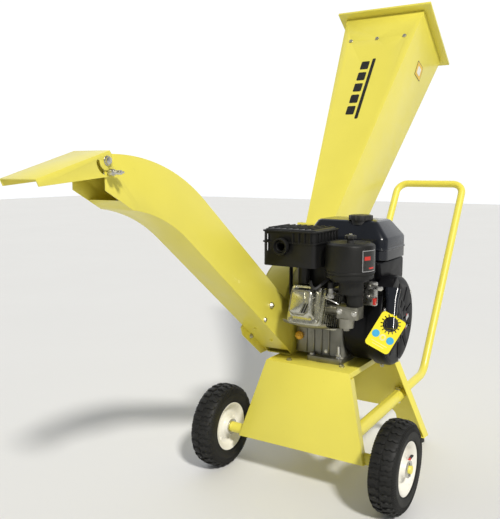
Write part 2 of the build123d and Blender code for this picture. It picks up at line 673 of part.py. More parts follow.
# ---------------------------------------------------------------- deflector over the outlet
deflector_turn = math.radians(DEFLECTOR_SLOPE)
plate_rise = DEFLECTOR_RISE
plate_back = (pivot_y + 6.5, pivot_z + plate_rise)
plate_front = (
    plate_back[0] - DEFLECTOR_LENGTH * math.cos(deflector_turn),
    plate_back[1] - DEFLECTOR_LENGTH * math.sin(deflector_turn),
)
lip_front = (plate_front[0] + DEFLECTOR_LIP * 0.5, plate_front[1] - DEFLECTOR_LIP)
skirt_low = pivot_z - CLAMP_RADIUS - SLOT_HALF_WIDTH - 3.5
flange_gap = 0.5
with BuildPart() as deflector:
    outer_width = HOUSING_WIDTH + 2 * (BODY_SHEET + flange_gap)
    with BuildSketch(side_plane(HOUSING_LEFT - BODY_SHEET - flange_gap)):
        with BuildLine():
            Polyline(
                plate_front,
                plate_back,
                (pivot_y + 12, pivot_z + 12),
                (pivot_y + 14, stud_z - 2),
                (pivot_y + 10, skirt_low),
                (pivot_y - 10, skirt_low),
                lip_front,
                close=True,
            )
        make_face()
    extrude(amount=outer_width)
    with BuildSketch(side_plane(HOUSING_LEFT - flange_gap)):
        with BuildLine():
            Polyline(
                (plate_front[0] - 20, plate_front[1] - BODY_SHEET - 6),
                (plate_back[0] + 30, plate_back[1] - BODY_SHEET + 9),
                (plate_back[0] + 30, skirt_low - 60),
                (plate_front[0] - 20, skirt_low - 60),
                close=True,
            )
        make_face()
    extrude(amount=outer_width - 2 * BODY_SHEET, mode=Mode.SUBTRACT)
    with BuildSketch(side_plane(HOUSING_CENTRE_X)):
        with Locations((pivot_y, pivot_z)):
            Circle(BOLT_RADIUS + SHAFT_CLEARANCE)
        for end in (0, 1):
            end_turn = math.radians(CLAMP_ANGLE - SLOT_SWEEP * end)
            end_y = pivot_y + CLAMP_RADIUS * math.cos(end_turn)
            end_z = pivot_z + CLAMP_RADIUS * math.sin(end_turn)
            with Locations((end_y, end_z)):
                Circle(SLOT_HALF_WIDTH)
        with BuildLine():
            slot_out = CLAMP_RADIUS + SLOT_HALF_WIDTH
            slot_in = CLAMP_RADIUS - SLOT_HALF_WIDTH
            arc_out = CenterArc((pivot_y, pivot_z), slot_out, CLAMP_ANGLE - SLOT_SWEEP, SLOT_SWEEP)
            arc_in = CenterArc((pivot_y, pivot_z), slot_in, CLAMP_ANGLE - SLOT_SWEEP, SLOT_SWEEP)
            Line(arc_out @ 0, arc_in @ 0)
            Line(arc_out @ 1, arc_in @ 1)
        make_face()
    extrude(amount=HOUSING_WIDTH, both=True, mode=Mode.SUBTRACT)
save(deflector.part, "deflector")

outside = HOUSING_WIDTH / 2 + flange_gap + BODY_SHEET
pivots = []
studs = []
for side in (-1, 1):
    face_x = HOUSING_CENTRE_X + side * outside
    pivots.append(bolt((face_x, pivot_y, pivot_z), (side, 0, 0), 2 * BODY_SHEET + flange_gap, BOLT_RADIUS))
    inner_x = HOUSING_CENTRE_X + side * (HOUSING_WIDTH / 2 - BODY_SHEET)
    studs.append(bolt((inner_x, stud_y, stud_z), (-side, 0, 0), 24.0, BOLT_RADIUS, nut=False))
with BuildPart() as pivot_bolts:
    add(pivots)
save(pivot_bolts.part, "pivot_bolts")
with BuildPart() as clamp_bolts:
    add(studs)
save(clamp_bolts.part, "clamp_bolts")

for side, name in ((-1, "left"), (1, "right")):
    nut_x = HOUSING_CENTRE_X + side * (outside + SEAT)
    nut_plane = Plane(origin=(nut_x, stud_y, stud_z), x_dir=(0, 1, 0), z_dir=(side, 0, 0))
    with BuildPart() as wing_nut:
        with BuildSketch(nut_plane):
            Circle(7)
        extrude(amount=9, taper=8)
        with BuildSketch(nut_plane.offset(7)):
            SlotOverall(28, 4)
        extrude(amount=7)
        with BuildSketch(nut_plane.offset(11)):
            for wing in (-1, 1):
                with Locations((wing * 11.5, 0)):
                    SlotOverall(9, 3.6)
        extrude(amount=8)
        with BuildSketch(nut_plane.offset(-1)):
            Circle(BOLT_RADIUS + SHAFT_CLEARANCE)
        extrude(amount=30, mode=Mode.SUBTRACT)
    save(wing_nut.part, f"{name}_wing_nut")

# ---------------------------------------------------------------- hopper frame of reference
slope = math.radians(HOPPER_SLOPE)
down = Vector(0, -math.cos(slope), -math.sin(slope))
inward = Vector(0, math.sin(slope), -math.cos(slope))
crank_point = Vector(HOUSING_CENTRE_X, CRANK_Y, CRANK_Z)
mouth_point = crank_point - inward * HOPPER_AXIS_INSET - down * (HOPPER_LENGTH + THROAT_LENGTH)


def hopper_plane(along):
    """Cross-section plane; local x is world X and local y runs from the front wall to the back wall."""
    return Plane(origin=mouth_point + down * along, x_dir=(1, 0, 0), z_dir=-down)


def frustum(top, bottom, inset, extra=0.0):
    """Tapered box between two cross-sections (along, width, depth), shrunk by inset."""
    with BuildPart() as body:
        for along, width, depth in (top, bottom):
            with BuildSketch(hopper_plane(along)):
                with Locations((0, depth / 2)):
                    Rectangle(width - 2 * inset + extra, depth - 2 * inset + extra)
        loft()
    return body.part


mouth = (0.0, HOPPER_MOUTH_WIDTH, HOPPER_MOUTH_DEPTH)
neck = (HOPPER_LENGTH, HOUSING_WIDTH, HOPPER_NECK_DEPTH)
throat_depth = HOPPER_AXIS_INSET + HOUSING_RADIUS
throat_top = (HOPPER_LENGTH + 2 * FRAME_SHEET + SEAT, HOUSING_WIDTH, HOPPER_NECK_DEPTH)
throat_low = (HOPPER_LENGTH + THROAT_LENGTH, HOUSING_WIDTH, throat_depth)
hopper_outer = frustum(mouth, neck, 0)
hopper_inner = frustum(mouth, neck, BODY_SHEET)
throat_outer = frustum(throat_top, throat_low, 0)
throat_inner = frustum(throat_top, throat_low, BODY_SHEET)
wall_half = HOPPER_MOUTH_WIDTH / 2 - CURTAIN_DROP * (HOPPER_MOUTH_WIDTH - HOUSING_WIDTH) / (2 * HOPPER_LENGTH)


def neck_flange(along):
    """Bolting flange round the neck."""
    with BuildPart() as body:
        with BuildSketch(hopper_plane(along)):
            with Locations((0, HOPPER_NECK_DEPTH / 2)):
                Rectangle(HOUSING_WIDTH + 2 * NECK_FLANGE, HOPPER_NECK_DEPTH + 2 * NECK_FLANGE)
                Rectangle(HOUSING_WIDTH - 2 * BODY_SHEET, HOPPER_NECK_DEPTH - 2 * BODY_SHEET, mode=Mode.SUBTRACT)
                with GridLocations(HOUSING_WIDTH + NECK_FLANGE, HOPPER_NECK_DEPTH + NECK_FLANGE, 2, 2):
                    Circle(3.0 + SEAT, mode=Mode.SUBTRACT)
        extrude(amount=-FRAME_SHEET)
    return body.part


hopper_flange = neck_flange(HOPPER_LENGTH)
throat_flange = neck_flange(HOPPER_LENGTH + FRAME_SHEET + SEAT)
with BuildPart() as hopper:
    add(hopper_outer)
    add(hopper_inner, mode=Mode.SUBTRACT)
    add(hopper_flange)
    with BuildSketch(Plane(origin=mouth_point + down * CURTAIN_DROP, x_dir=(1, 0, 0), z_dir=-inward).offset(20)):
        with GridLocations(SCREW_SPACING, 10, 3, 1):
            Circle(3.0 + SEAT)
    extrude(amount=-60, mode=Mode.SUBTRACT)
save(hopper.part, "hopper")

with BuildPart() as hopper_rim:
    with BuildSketch(hopper_plane(-SEAT)):
        with Locations((0, HOPPER_MOUTH_DEPTH / 2)):
            Rectangle(HOPPER_MOUTH_WIDTH + 2 * RIM_REACH, HOPPER_MOUTH_DEPTH + 2 * RIM_REACH)
    extrude(amount=RIM_LIP)
    with BuildSketch(hopper_plane(-SEAT - BODY_SHEET)):
        with Locations((0, HOPPER_MOUTH_DEPTH / 2)):
            lip = 2 * (RIM_REACH - BODY_SHEET)
            Rectangle(HOPPER_MOUTH_WIDTH + lip, HOPPER_MOUTH_DEPTH + lip)
    extrude(amount=RIM_LIP, mode=Mode.SUBTRACT)
    with BuildSketch(hopper_plane(5)):
        with Locations((0, HOPPER_MOUTH_DEPTH / 2)):
            Rectangle(HOPPER_MOUTH_WIDTH - 2 * BODY_SHEET, HOPPER_MOUTH_DEPTH - 2 * BODY_SHEET)
    extrude(amount=40, mode=Mode.SUBTRACT)
save(hopper_rim.part, "hopper_rim")

# the rubber curtain hangs straight down from a rod inside the front wall
hang_point = mouth_point + down * CURTAIN_DROP + inward * (BODY_SHEET + 14.0)
curtain_narrowing = CURTAIN_LENGTH * math.sin(slope) * (HOPPER_MOUTH_WIDTH - HOUSING_WIDTH) / (2 * HOPPER_LENGTH)
curtain_top = wall_half - 10.0
rod_half = wall_half - BODY_SHEET - 3.5
curtain_tip = curtain_top - 1.25 * curtain_narrowing
with BuildPart() as feed_curtain:
    with BuildSketch(Plane(origin=hang_point, x_dir=(1, 0, 0), z_dir=(0, -1, 0))):
        with BuildLine():
            Polyline(
                (-curtain_top, 0),
                (curtain_top, 0),
                (curtain_tip, -CURTAIN_LENGTH),
                (-curtain_tip, -CURTAIN_LENGTH),
                close=True,
            )
        make_face()
        with Locations((0, -CURTAIN_LENGTH)):
            with GridLocations(CURTAIN_LENGTH / 5, 10, 4, 1):
                Rectangle(1.5, 1.2 * CURTAIN_LENGTH, mode=Mode.SUBTRACT)
    extrude(amount=CURTAIN_THICKNESS / 2, both=True)
    add(rod(hang_point - Vector(curtain_top, 0, 0), (1, 0, 0), CURTAIN_ROLL_RADIUS, 2 * curtain_top))
    curtain_rod_hole = rod(hang_point - Vector(rod_half, 0, 0), (1, 0, 0), ROD_RADIUS + SHAFT_CLEARANCE, 2 * rod_half)
    add(curtain_rod_hole, mode=Mode.SUBTRACT)
save(feed_curtain.part, "feed_curtain")

# ---------------------------------------------------------------- rotor housing
with BuildPart() as infeed_throat:
    add(throat_outer)
    add(throat_inner, mode=Mode.SUBTRACT)
    add(throat_flange)
    with BuildSketch(side_plane(HOUSING_LEFT - 5)):
        with Locations((CRANK_Y, CRANK_Z)):
            Circle(HOUSING_OUTER + SEAT)
        with Locations((CRANK_Y, CRANK_Z - 100)):
            Rectangle(2 * HOUSING_OUTER + 60, 200)
    extrude(amount=HOUSING_WIDTH + 10, mode=Mode.SUBTRACT)
save(infeed_throat.part, "infeed_throat")

floor_z = DECK_Z + SEAT


def housing_plate(x, with_ear):
    """Side plate of the rotor housing; it runs a little way into the chute, to which it is bolted."""
    with BuildPart() as body:
        with BuildSketch(side_plane(x)):
            with Locations((CRANK_Y, CRANK_Z)):
                Circle(HOUSING_OUTER)
            with BuildLine():
                Polyline(
                    chute_point(bend_outer - BODY_SHEET - SEAT, spigot_start + 60),
                    chute_point(bend_outer - BODY_SHEET - SEAT, run_to_crank),
                    chute_point(CHUTE_BEND_RADIUS + BODY_SHEET + SEAT, run_to_crank + 30),
                    chute_point(CHUTE_BEND_RADIUS + BODY_SHEET + SEAT, spigot_start),
                    close=True,
                )
            make_face()
            if with_ear:
                with BuildLine():
                    Polyline(
                        chute_point(CHUTE_BEND_RADIUS - 4, spigot_start),
                        chute_point(CHUTE_BEND_RADIUS + 4, spigot_start - 4),
                        chute_point(CHUTE_BEND_RADIUS + 4, run_to_crank + 30),
                        chute_point(CHUTE_BEND_RADIUS - 22, run_to_crank + 30),
                        chute_point(CHUTE_BEND_RADIUS - 22, spigot_start + 20),
                        close=True,
                    )
                make_face()
            with Locations((CRANK_Y, floor_z - 100)):
                Rectangle(700, 200, mode=Mode.SUBTRACT)
        extrude(amount=HOUSING_SHEET)
    return body.part


def bore_at_crank(x, length, radius):
    """Bar on the crankshaft's line, used to cut bores."""
    return rod((x, CRANK_Y, CRANK_Z), (1, 0, 0), radius, length)


right_blank = housing_plate(INNER_RIGHT, False)
left_blank = housing_plate(PLATE_LEFT, False)
shaft_hole = bore_at_crank(HOUSING_LEFT - 10, HOUSING_WIDTH + 20, CRANK_RADIUS + 4)
with BuildPart() as housing_right_plate:
    add(right_blank)
    add(shaft_hole, mode=Mode.SUBTRACT)
save(housing_right_plate.part, "housing_right_plate")
with BuildPart() as housing_left_plate:
    add(left_blank)
save(housing_left_plate.part, "housing_left_plate")

wrap_width = INNER_RIGHT - INNER_LEFT - 2 * SEAT
throat_cut = frustum(
    (HOPPER_LENGTH + 20, HOUSING_WIDTH + 8, HOPPER_NECK_DEPTH - 8),
    (HOPPER_LENGTH + THROAT_LENGTH, HOUSING_WIDTH + 8, throat_depth + 1),
    BODY_SHEET,
)
with BuildPart() as housing_wrap:
    with BuildSketch(side_plane(INNER_LEFT + SEAT)):
        with Locations((CRANK_Y, CRANK_Z)):
            Circle(HOUSING_OUTER)
            Circle(HOUSING_RADIUS, mode=Mode.SUBTRACT)
        with Locations((CRANK_Y, floor_z - 100)):
            Rectangle(700, 200, mode=Mode.SUBTRACT)
        with BuildLine():
            Polyline(
                chute_point(bend_outer - BODY_SHEET, 0),
                chute_point(bend_outer - BODY_SHEET, run_to_crank),
                chute_point(CHUTE_BEND_RADIUS, run_to_crank),
                chute_point(CHUTE_BEND_RADIUS - 60, run_to_crank),
                chute_point(CHUTE_BEND_RADIUS - 60, 0),
                close=True,
            )
        make_face(mode=Mode.SUBTRACT)
        floor_half = math.sqrt(HOUSING_RADIUS**2 - (CRANK_Z - floor_z) ** 2)
        with Locations((CRANK_Y - 4, floor_z + HOUSING_SHEET / 2)):
            Rectangle(2 * floor_half + 6, HOUSING_SHEET)
    extrude(amount=wrap_width)
    add(throat_cut, mode=Mode.SUBTRACT)
save(housing_wrap.part, "housing_wrap")

with BuildPart() as chute_ear:
    with BuildSketch(side_plane(HOUSING_LEFT - HOUSING_SHEET - SEAT)):
        with BuildLine():
            Polyline(
                chute_point(CHUTE_BEND_RADIUS + 30, spigot_start + 6),
                chute_point(CHUTE_BEND_RADIUS + 30, run_to_crank),
                chute_point(CHUTE_BEND_RADIUS - 20, run_to_crank + 30),
                chute_point(CHUTE_BEND_RADIUS - 20, spigot_start + 18),
                chute_point(CHUTE_BEND_RADIUS - 8, spigot_start),
                close=True,
            )
        make_face()
        with Locations((CRANK_Y, floor_z - 100)):
            Rectangle(700, 200, mode=Mode.SUBTRACT)
    extrude(amount=HOUSING_SHEET)
save(chute_ear.part, "chute_bracket")

anvil_reach = HOUSING_RADIUS - ROTOR_TIP_RADIUS - KNIFE_GAP - SEAT
with BuildPart() as anvil:
    with BuildSketch(side_plane(INNER_LEFT + 2 * SEAT)):
        with Locations((CRANK_Y + ROTOR_TIP_RADIUS + KNIFE_GAP + anvil_reach / 2, CRANK_Z - 6)):
            Rectangle(anvil_reach, 12)
        with Locations((CRANK_Y, CRANK_Z)):
            Circle(ROTOR_TIP_RADIUS + KNIFE_GAP, mode=Mode.SUBTRACT)
    extrude(amount=INNER_RIGHT - INNER_LEFT - 4 * SEAT)
save(anvil.part, "anvil")

# ---------------------------------------------------------------- rotor and crank train
rotor_left = HOUSING_CENTRE_X - ROTOR_WIDTH / 2
rotor_right = HOUSING_CENTRE_X + ROTOR_WIDTH / 2
shaft_left = rotor_left + 10
knife_plane = side_plane(rotor_left + 1)
with BuildPart() as rotor:
    with BuildSketch(side_plane(rotor_left)):
        with Locations((CRANK_Y, CRANK_Z)):
            Circle(ROTOR_DRUM_RADIUS)
            with PolarLocations(ROTOR_DRUM_RADIUS - 4, 2, 20):
                Rectangle(30, 34)
    extrude(amount=ROTOR_WIDTH)
    with BuildSketch(knife_plane.offset(-2)):
        with Locations((CRANK_Y, CRANK_Z)):
            with PolarLocations(ROTOR_TIP_RADIUS - 19, 2, 20):
                with Locations((0, 17)):
                    Rectangle(40, 10 + 2 * SEAT)
    extrude(amount=ROTOR_WIDTH + 4, mode=Mode.SUBTRACT)
    add(bore_at_crank(shaft_left - SEAT, ROTOR_WIDTH + 20, CRANK_RADIUS + SEAT), mode=Mode.SUBTRACT)
save(rotor.part, "rotor")
with BuildPart() as rotor_knives:
    with BuildSketch(knife_plane):
        with Locations((CRANK_Y, CRANK_Z)):
            with PolarLocations(ROTOR_TIP_RADIUS - 19, 2, 20):
                with Locations((0, 17)):
                    Rectangle(36, 10)
            Circle(ROTOR_TIP_RADIUS, mode=Mode.INTERSECT)
    extrude(amount=ROTOR_WIDTH - 2)
save(rotor_knives.part, "rotor_knives")

# ---------------------------------------------------------------- engine
base_z = DECK_Z + SEAT
base_top = base_z + ENGINE_BASE_THICKNESS
case_front = AXLE_Y + 92.0
case_back = AXLE_Y + 232.0
case_top = CRANK_Z + 84.0
head_plane = Plane(
    origin=(CYLINDER_X, case_front, CRANK_Z + 22.0),
    x_dir=(1, 0, 0),
    z_dir=(0, -math.cos(math.radians(CYLINDER_TILT)), math.sin(math.radians(CYLINDER_TILT))),
)
shaft_bore = CRANK_RADIUS + SHAFT_CLEARANCE
case_width = CASE_RIGHT - CASE_LEFT
case_depth = case_back - case_front
case_height = case_top - base_top
flange_right = PLATE_RIGHT + SEAT
boss_length = CASE_LEFT - flange_right

with BuildPart() as crankcase:
    with BuildSketch(Plane.XY.offset(base_top)):
        with Locations(((CASE_LEFT + CASE_RIGHT) / 2, (case_front + case_back) / 2)):
            RectangleRounded(case_width, case_depth, 14)
    extrude(amount=case_height)
    fillet(crankcase.edges().group_by(Axis.Z)[-1], 10)
    with BuildSketch(Plane.XY.offset(base_z)):
        with Locations((ENGINE_BASE_X, engine_middle)):
            RectangleRounded(ENGINE_BASE_WIDTH, ENGINE_BASE_DEPTH, 8)
    extrude(amount=ENGINE_BASE_THICKNESS)
    with BuildSketch(Plane.XY.offset(base_z + CASE_WALL)):
        with Locations(((CASE_LEFT + CASE_RIGHT) / 2, (case_front + case_back) / 2)):
            RectangleRounded(min(case_width, ENGINE_BASE_WIDTH) - 2 * CASE_WALL, case_depth - 2 * CASE_WALL, 8)
    extrude(amount=ENGINE_BASE_THICKNESS, mode=Mode.SUBTRACT)
    with BuildSketch(Plane.XY.offset(base_top)):
        with Locations(((CASE_LEFT + CASE_RIGHT) / 2, (case_front + case_back) / 2)):
            RectangleRounded(case_width - 2 * CASE_WALL, case_depth - 2 * CASE_WALL, 8)
    extrude(amount=case_height - CASE_WALL, mode=Mode.SUBTRACT)
    add(rod((flange_right, CRANK_Y, CRANK_Z), (1, 0, 0), 54, boss_length + 1))
    add(rod((CASE_RIGHT - 1, CRANK_Y, CRANK_Z), (1, 0, 0), 30, 8))
    add(rod((flange_right - 1, CRANK_Y, CRANK_Z), (1, 0, 0), shaft_bore, 200), mode=Mode.SUBTRACT)
    with BuildSketch(head_plane.offset(-2 * CASE_WALL)):
        Circle(36)
    extrude(amount=3 * CASE_WALL, mode=Mode.SUBTRACT)
    with BuildSketch(Plane.XY.offset(base_z - 1)):
        with Locations((ENGINE_BASE_X, engine_middle)):
            with GridLocations(ENGINE_HOLE_X, ENGINE_HOLE_Y, 2, 2):
                Circle(BOLT_RADIUS + SEAT)
    extrude(amount=ENGINE_BASE_THICKNESS + 2, mode=Mode.SUBTRACT)
save(crankcase.part, "crankcase")

fin_step = CYLINDER_LENGTH / FIN_COUNT
head_top = head_plane.offset(SEAT + CYLINDER_LENGTH)
with BuildPart() as cylinder:
    with BuildSketch(head_plane.offset(SEAT)):
        RectangleRounded(CYLINDER_FIN - 18, CYLINDER_FIN - 18, 12)
    extrude(amount=CYLINDER_LENGTH)
    for fin in range(FIN_COUNT):
        with BuildSketch(head_plane.offset(SEAT + (fin + 0.5) * fin_step)):
            RectangleRounded(CYLINDER_FIN, CYLINDER_FIN, 10)
        extrude(amount=2.6)
    with BuildSketch(head_plane.offset(SEAT - 1)):
        Circle(35)
    extrude(amount=CYLINDER_LENGTH - 12, mode=Mode.SUBTRACT)
    with BuildSketch(Plane.XY.offset(CRANK_Z - 150)):
        with Locations((0, case_front + 100 - SEAT)):
            Rectangle(300, 200)
    extrude(amount=400, mode=Mode.SUBTRACT)
save(cylinder.part, "cylinder")

with BuildPart() as valve_cover:
    with BuildSketch(head_top.offset(SEAT)):
        RectangleRounded(78, 92, 12)
    extrude(amount=5)
    with BuildSketch(head_top.offset(SEAT + 4)):
        RectangleRounded(66, 80, 14)
    extrude(amount=30, taper=4)
    fillet(valve_cover.faces().sort_by(Axis.Y)[0].edges(), 6)
    with BuildSketch(head_top.offset(SEAT - 1)):
        RectangleRounded(56, 70, 10)
    extrude(amount=28, mode=Mode.SUBTRACT)
save(valve_cover.part, "valve_cover")

plug_start = Vector(CYLINDER_X + CYLINDER_FIN / 2 + 9 + SEAT, AXLE_Y + 8.0, 500.0)
with BuildPart() as spark_plug:
    add(rod(plug_start, (0, 0, 1), 9, 10))
    add(rod(plug_start + Vector(0, 0, 9), (0, 0, 1), 5.5, 15))
save(spark_plug.part, "spark_plug")

lead_top = plug_start + Vector(0, 0, 24 + SEAT)
lead_points = [
    lead_top + Vector(0, 4, 8),
    lead_top + Vector(0, 50, 8),
    lead_top + Vector(14, 75, 14),
]
with BuildPart() as spark_plug_lead:
    add(rod(lead_top, (0, 0, 1), 8, 15))
    with BuildLine() as lead_line:
        FilletPolyline(*lead_points, radius=18)
    with BuildSketch(Plane(origin=lead_points[0], z_dir=lead_points[1] - lead_points[0])):
        Circle(3.5)
    sweep(path=lead_line.line)
save(spark_plug_lead.part, "spark_plug_lead")

# crankshaft: power end in the rotor, one throw, flywheel end under the recoil cover
web = 9.0
flywheel_left = CASE_RIGHT + 22.0
flywheel_width = 30.0
shaft_right = flywheel_left + flywheel_width + 14.0
with BuildPart() as crankshaft:
    add(bore_at_crank(shaft_left, CYLINDER_X - 22 - shaft_left, CRANK_RADIUS))
    add(bore_at_crank(CYLINDER_X + 22, shaft_right - CYLINDER_X - 22, CRANK_RADIUS))
    for start in (CYLINDER_X - 22, CYLINDER_X + 22 - web):
        with BuildSketch(side_plane(start)):
            with Locations((CRANK_Y, CRANK_Z)):
                Circle(42)
        extrude(amount=web)
    with BuildSketch(side_plane(CYLINDER_X - 22)):
        with Locations((CRANK_Y, CRANK_Z + 26)):
            Circle(14)
    extrude(amount=44)
save(crankshaft.part, "crankshaft")

with BuildPart() as flywheel:
    with BuildSketch(side_plane(flywheel_left)):
        with Locations((CRANK_Y, CRANK_Z)):
            Circle(FLYWHEEL_RADIUS)
            Circle(CRANK_RADIUS + SEAT, mode=Mode.SUBTRACT)
    extrude(amount=12)
    with BuildSketch(side_plane(flywheel_left + 11)):
        with Locations((CRANK_Y, CRANK_Z)):
            Circle(26)
            Circle(CRANK_RADIUS + SEAT, mode=Mode.SUBTRACT)
            with PolarLocations(FLYWHEEL_RADIUS - 20, 12):
                Rectangle(34, 4)
    extrude(amount=flywheel_width - 11)
save(flywheel.part, "flywheel")

# fan housing and recoil cover
cover_left = CASE_RIGHT + 8.0
cover_split = cover_left + 66.0
cover_back = AXLE_Y + TANK_FRONT + TANK_DEPTH + 8
cover_front = CRANK_Y - RECOIL_RADIUS
with BuildPart() as blower_housing:
    for wall, start in ((0, cover_left), (COVER_WALL, cover_left - 1)):
        with BuildSketch(side_plane(start)):
            with Locations((CRANK_Y, CRANK_Z)):
                Circle(BLOWER_RADIUS - wall)
            with BuildLine():
                Polyline(
                    (CRANK_Y - BLOWER_RADIUS + 5 + wall, CRANK_Z),
                    (CRANK_Y + BLOWER_RADIUS - wall, CRANK_Z),
                    (cover_back - wall, CRANK_Z + 90),
                    (cover_back - 4 - wall, TANK_BOTTOM - SEAT - wall),
                    (CRANK_Y - 70 + wall, TANK_BOTTOM - SEAT - wall),
                    (CRANK_Y - 96 + wall, CRANK_Z + 96 - wall),
                    close=True,
                )
            make_face()
        extrude(amount=cover_split - cover_left - wall, mode=Mode.SUBTRACT if wall else Mode.ADD)
    with BuildSketch(side_plane(cover_split - 10)):
        with Locations((CRANK_Y, CRANK_Z)):
            Circle(BLOWER_RADIUS - 8)
    extrude(amount=20, mode=Mode.SUBTRACT)
save(blower_housing.part, "blower_housing")

pull = Vector(0.15, -0.50, -0.85).normalized()
grip_base = Vector(RECOIL_FACE_X + 11.0, AXLE_Y + 97.0, 521.0)
grip_length = 104.0
grip_width = 40.0
grip_thickness = 20.0
rope_radius = 2.2
grip_plane = Plane(origin=grip_base, x_dir=Vector(-pull.Y, pull.X, 0).normalized(), z_dir=pull)
recoil_depth = RECOIL_FACE_X - cover_split - SEAT
with BuildPart() as recoil_cover:
    with BuildSketch(side_plane(cover_split + SEAT)):
        with Locations((CRANK_Y, CRANK_Z)):
            Circle(RECOIL_RADIUS)
    extrude(amount=recoil_depth)
    fillet(recoil_cover.edges().group_by(Axis.X)[-1], 14)
    with BuildSketch(side_plane(cover_split)):
        with Locations((CRANK_Y, CRANK_Z)):
            Circle(RECOIL_RADIUS - COVER_WALL - 3)
    extrude(amount=recoil_depth - COVER_WALL, mode=Mode.SUBTRACT)
    add(rod((RECOIL_FACE_X - 20, CRANK_Y, CRANK_Z), (1, 0, 0), 12, 19))
    with BuildSketch(side_plane(RECOIL_FACE_X - 8)):
        with Locations((CRANK_Y, CRANK_Z)):
            with PolarLocations(74, 10, 18):
                SlotOverall(34, 8, 0)
            with PolarLocations(44, 10, 0):
                SlotOverall(20, 6, 0)
    extrude(amount=20, mode=Mode.SUBTRACT)
    # rope outlet on the rim, cut square to the rope
    with BuildSketch(side_plane(RECOIL_FACE_X - 26)):
        with BuildLine():
            Polyline(
                (CRANK_Y - 84, CRANK_Z + 76),
                (CRANK_Y - 42, CRANK_Z + 106),
                (CRANK_Y - 58, CRANK_Z + 124),
                (CRANK_Y - 100, CRANK_Z + 96),
                close=True,
            )
        make_face()
    extrude(amount=40)
    with BuildSketch(grip_plane.offset(-2 * SEAT)):
        with Locations((0, grip_width / 2)):  # the seat is open towards the front
            Rectangle(grip_width + 2 * GRIP_CLEARANCE, grip_width + grip_thickness + 2 * GRIP_CLEARANCE)
    extrude(amount=grip_length + GRIP_CLEARANCE, mode=Mode.SUBTRACT)
    with BuildSketch(grip_plane):
        Circle(rope_radius + SHAFT_CLEARANCE)
    extrude(amount=-60, mode=Mode.SUBTRACT)
save(recoil_cover.part, "recoil_cover")

# starter grip on its rope, with a card hung on the grip
with BuildPart() as starter_grip:
    with BuildSketch(grip_plane):
        SlotOverall(grip_width, grip_thickness)
    with BuildSketch(grip_plane.offset(30)):
        SlotOverall(grip_width - 10, grip_thickness - 2)
    loft()
    with BuildSketch(grip_plane.offset(30)):
        SlotOverall(grip_width - 10, grip_thickness - 2)
    with BuildSketch(grip_plane.offset(grip_length)):
        SlotOverall(grip_width - 16, grip_thickness - 7)
    loft()
    with BuildSketch(grip_plane.offset(-1)):
        Circle(rope_radius + SEAT)
    extrude(amount=14, mode=Mode.SUBTRACT)
save(starter_grip.part, "starter_grip")
with BuildPart() as starter_rope:
    with BuildSketch(grip_plane.offset(12)):
        Circle(rope_radius)
    extrude(amount=-26)
save(starter_rope.part, "starter_rope")

card_plane = Plane(origin=grip_base + pull * (grip_length - 12), x_dir=(0.848, 0.53, 0), z_dir=(0.53, -0.848, 0))
with BuildPart() as hang_tag:
    with BuildSketch(card_plane):
        with Locations((-CARD_DROP * math.sin(CARD_TURN), -CARD_DROP * math.cos(CARD_TURN))):
            RectangleRounded(CARD_WIDTH, CARD_LENGTH, 9, rotation=-math.degrees(CARD_TURN))
        Circle(CARD_HOLE, mode=Mode.SUBTRACT)
    extrude(amount=1.0)
save(hang_tag.part, "hang_tag")

# tank over the engine
tank_x = (TANK_LEFT + TANK_RIGHT) / 2
tank_y = AXLE_Y + TANK_FRONT + TANK_DEPTH / 2
tank_width = TANK_RIGHT - TANK_LEFT
cap_point = (82.0, AXLE_Y + 155.0)
with BuildPart() as fuel_tank:
    with BuildSketch(Plane.XY.offset(TANK_BOTTOM)):
        with Locations((tank_x, tank_y)):
            RectangleRounded(tank_width, TANK_DEPTH, 22)
    extrude(amount=TANK_TOP - TANK_BOTTOM)
    fillet(fuel_tank.edges().group_by(Axis.Z)[-1], 18)
    with BuildSketch(Plane.XY.offset(TANK_BOTTOM + COVER_WALL)):
        with Locations((tank_x, tank_y)):
            RectangleRounded(tank_width - 2 * COVER_WALL, TANK_DEPTH - 2 * COVER_WALL, 20)
    extrude(amount=TANK_TOP - TANK_BOTTOM - 2 * COVER_WALL - 14, mode=Mode.SUBTRACT)
    for seam in (3.0, 27.0, 56.0):
        with BuildSketch(Plane.XY.offset(TANK_BOTTOM + seam)):
            with Locations((tank_x, tank_y)):
                RectangleRounded(tank_width + 4, TANK_DEPTH + 4, 24)
                RectangleRounded(tank_width - 2, TANK_DEPTH - 2, 21, mode=Mode.SUBTRACT)
        extrude(amount=4)
    with BuildSketch(Plane.XY.offset(TANK_TOP - 1)):
        with Locations(cap_point):
            Circle(CAP_RADIUS - 6)
    extrude(amount=5)
    with BuildSketch(Plane.XY.offset(TANK_TOP - 30)):
        with Locations(cap_point):
            Circle(CAP_RADIUS - 9)
    extrude(amount=40, mode=Mode.SUBTRACT)
save(fuel_tank.part, "fuel_tank")

with BuildPart() as fuel_cap:
    with BuildSketch(Plane.XY.offset(TANK_TOP + 4 + SEAT)):
        with Locations(cap_point):
            Circle(CAP_RADIUS)
            with PolarLocations(CAP_RADIUS + 1, 12):
                Circle(3, mode=Mode.SUBTRACT)
    extrude(amount=13)
    with BuildSketch(Plane.XY.offset(TANK_TOP - 8)):
        with Locations(cap_point):
            Circle(CAP_RADIUS - 9 - LOOSE_FIT)
    extrude(amount=14)
save(fuel_cap.part, "fuel_cap")

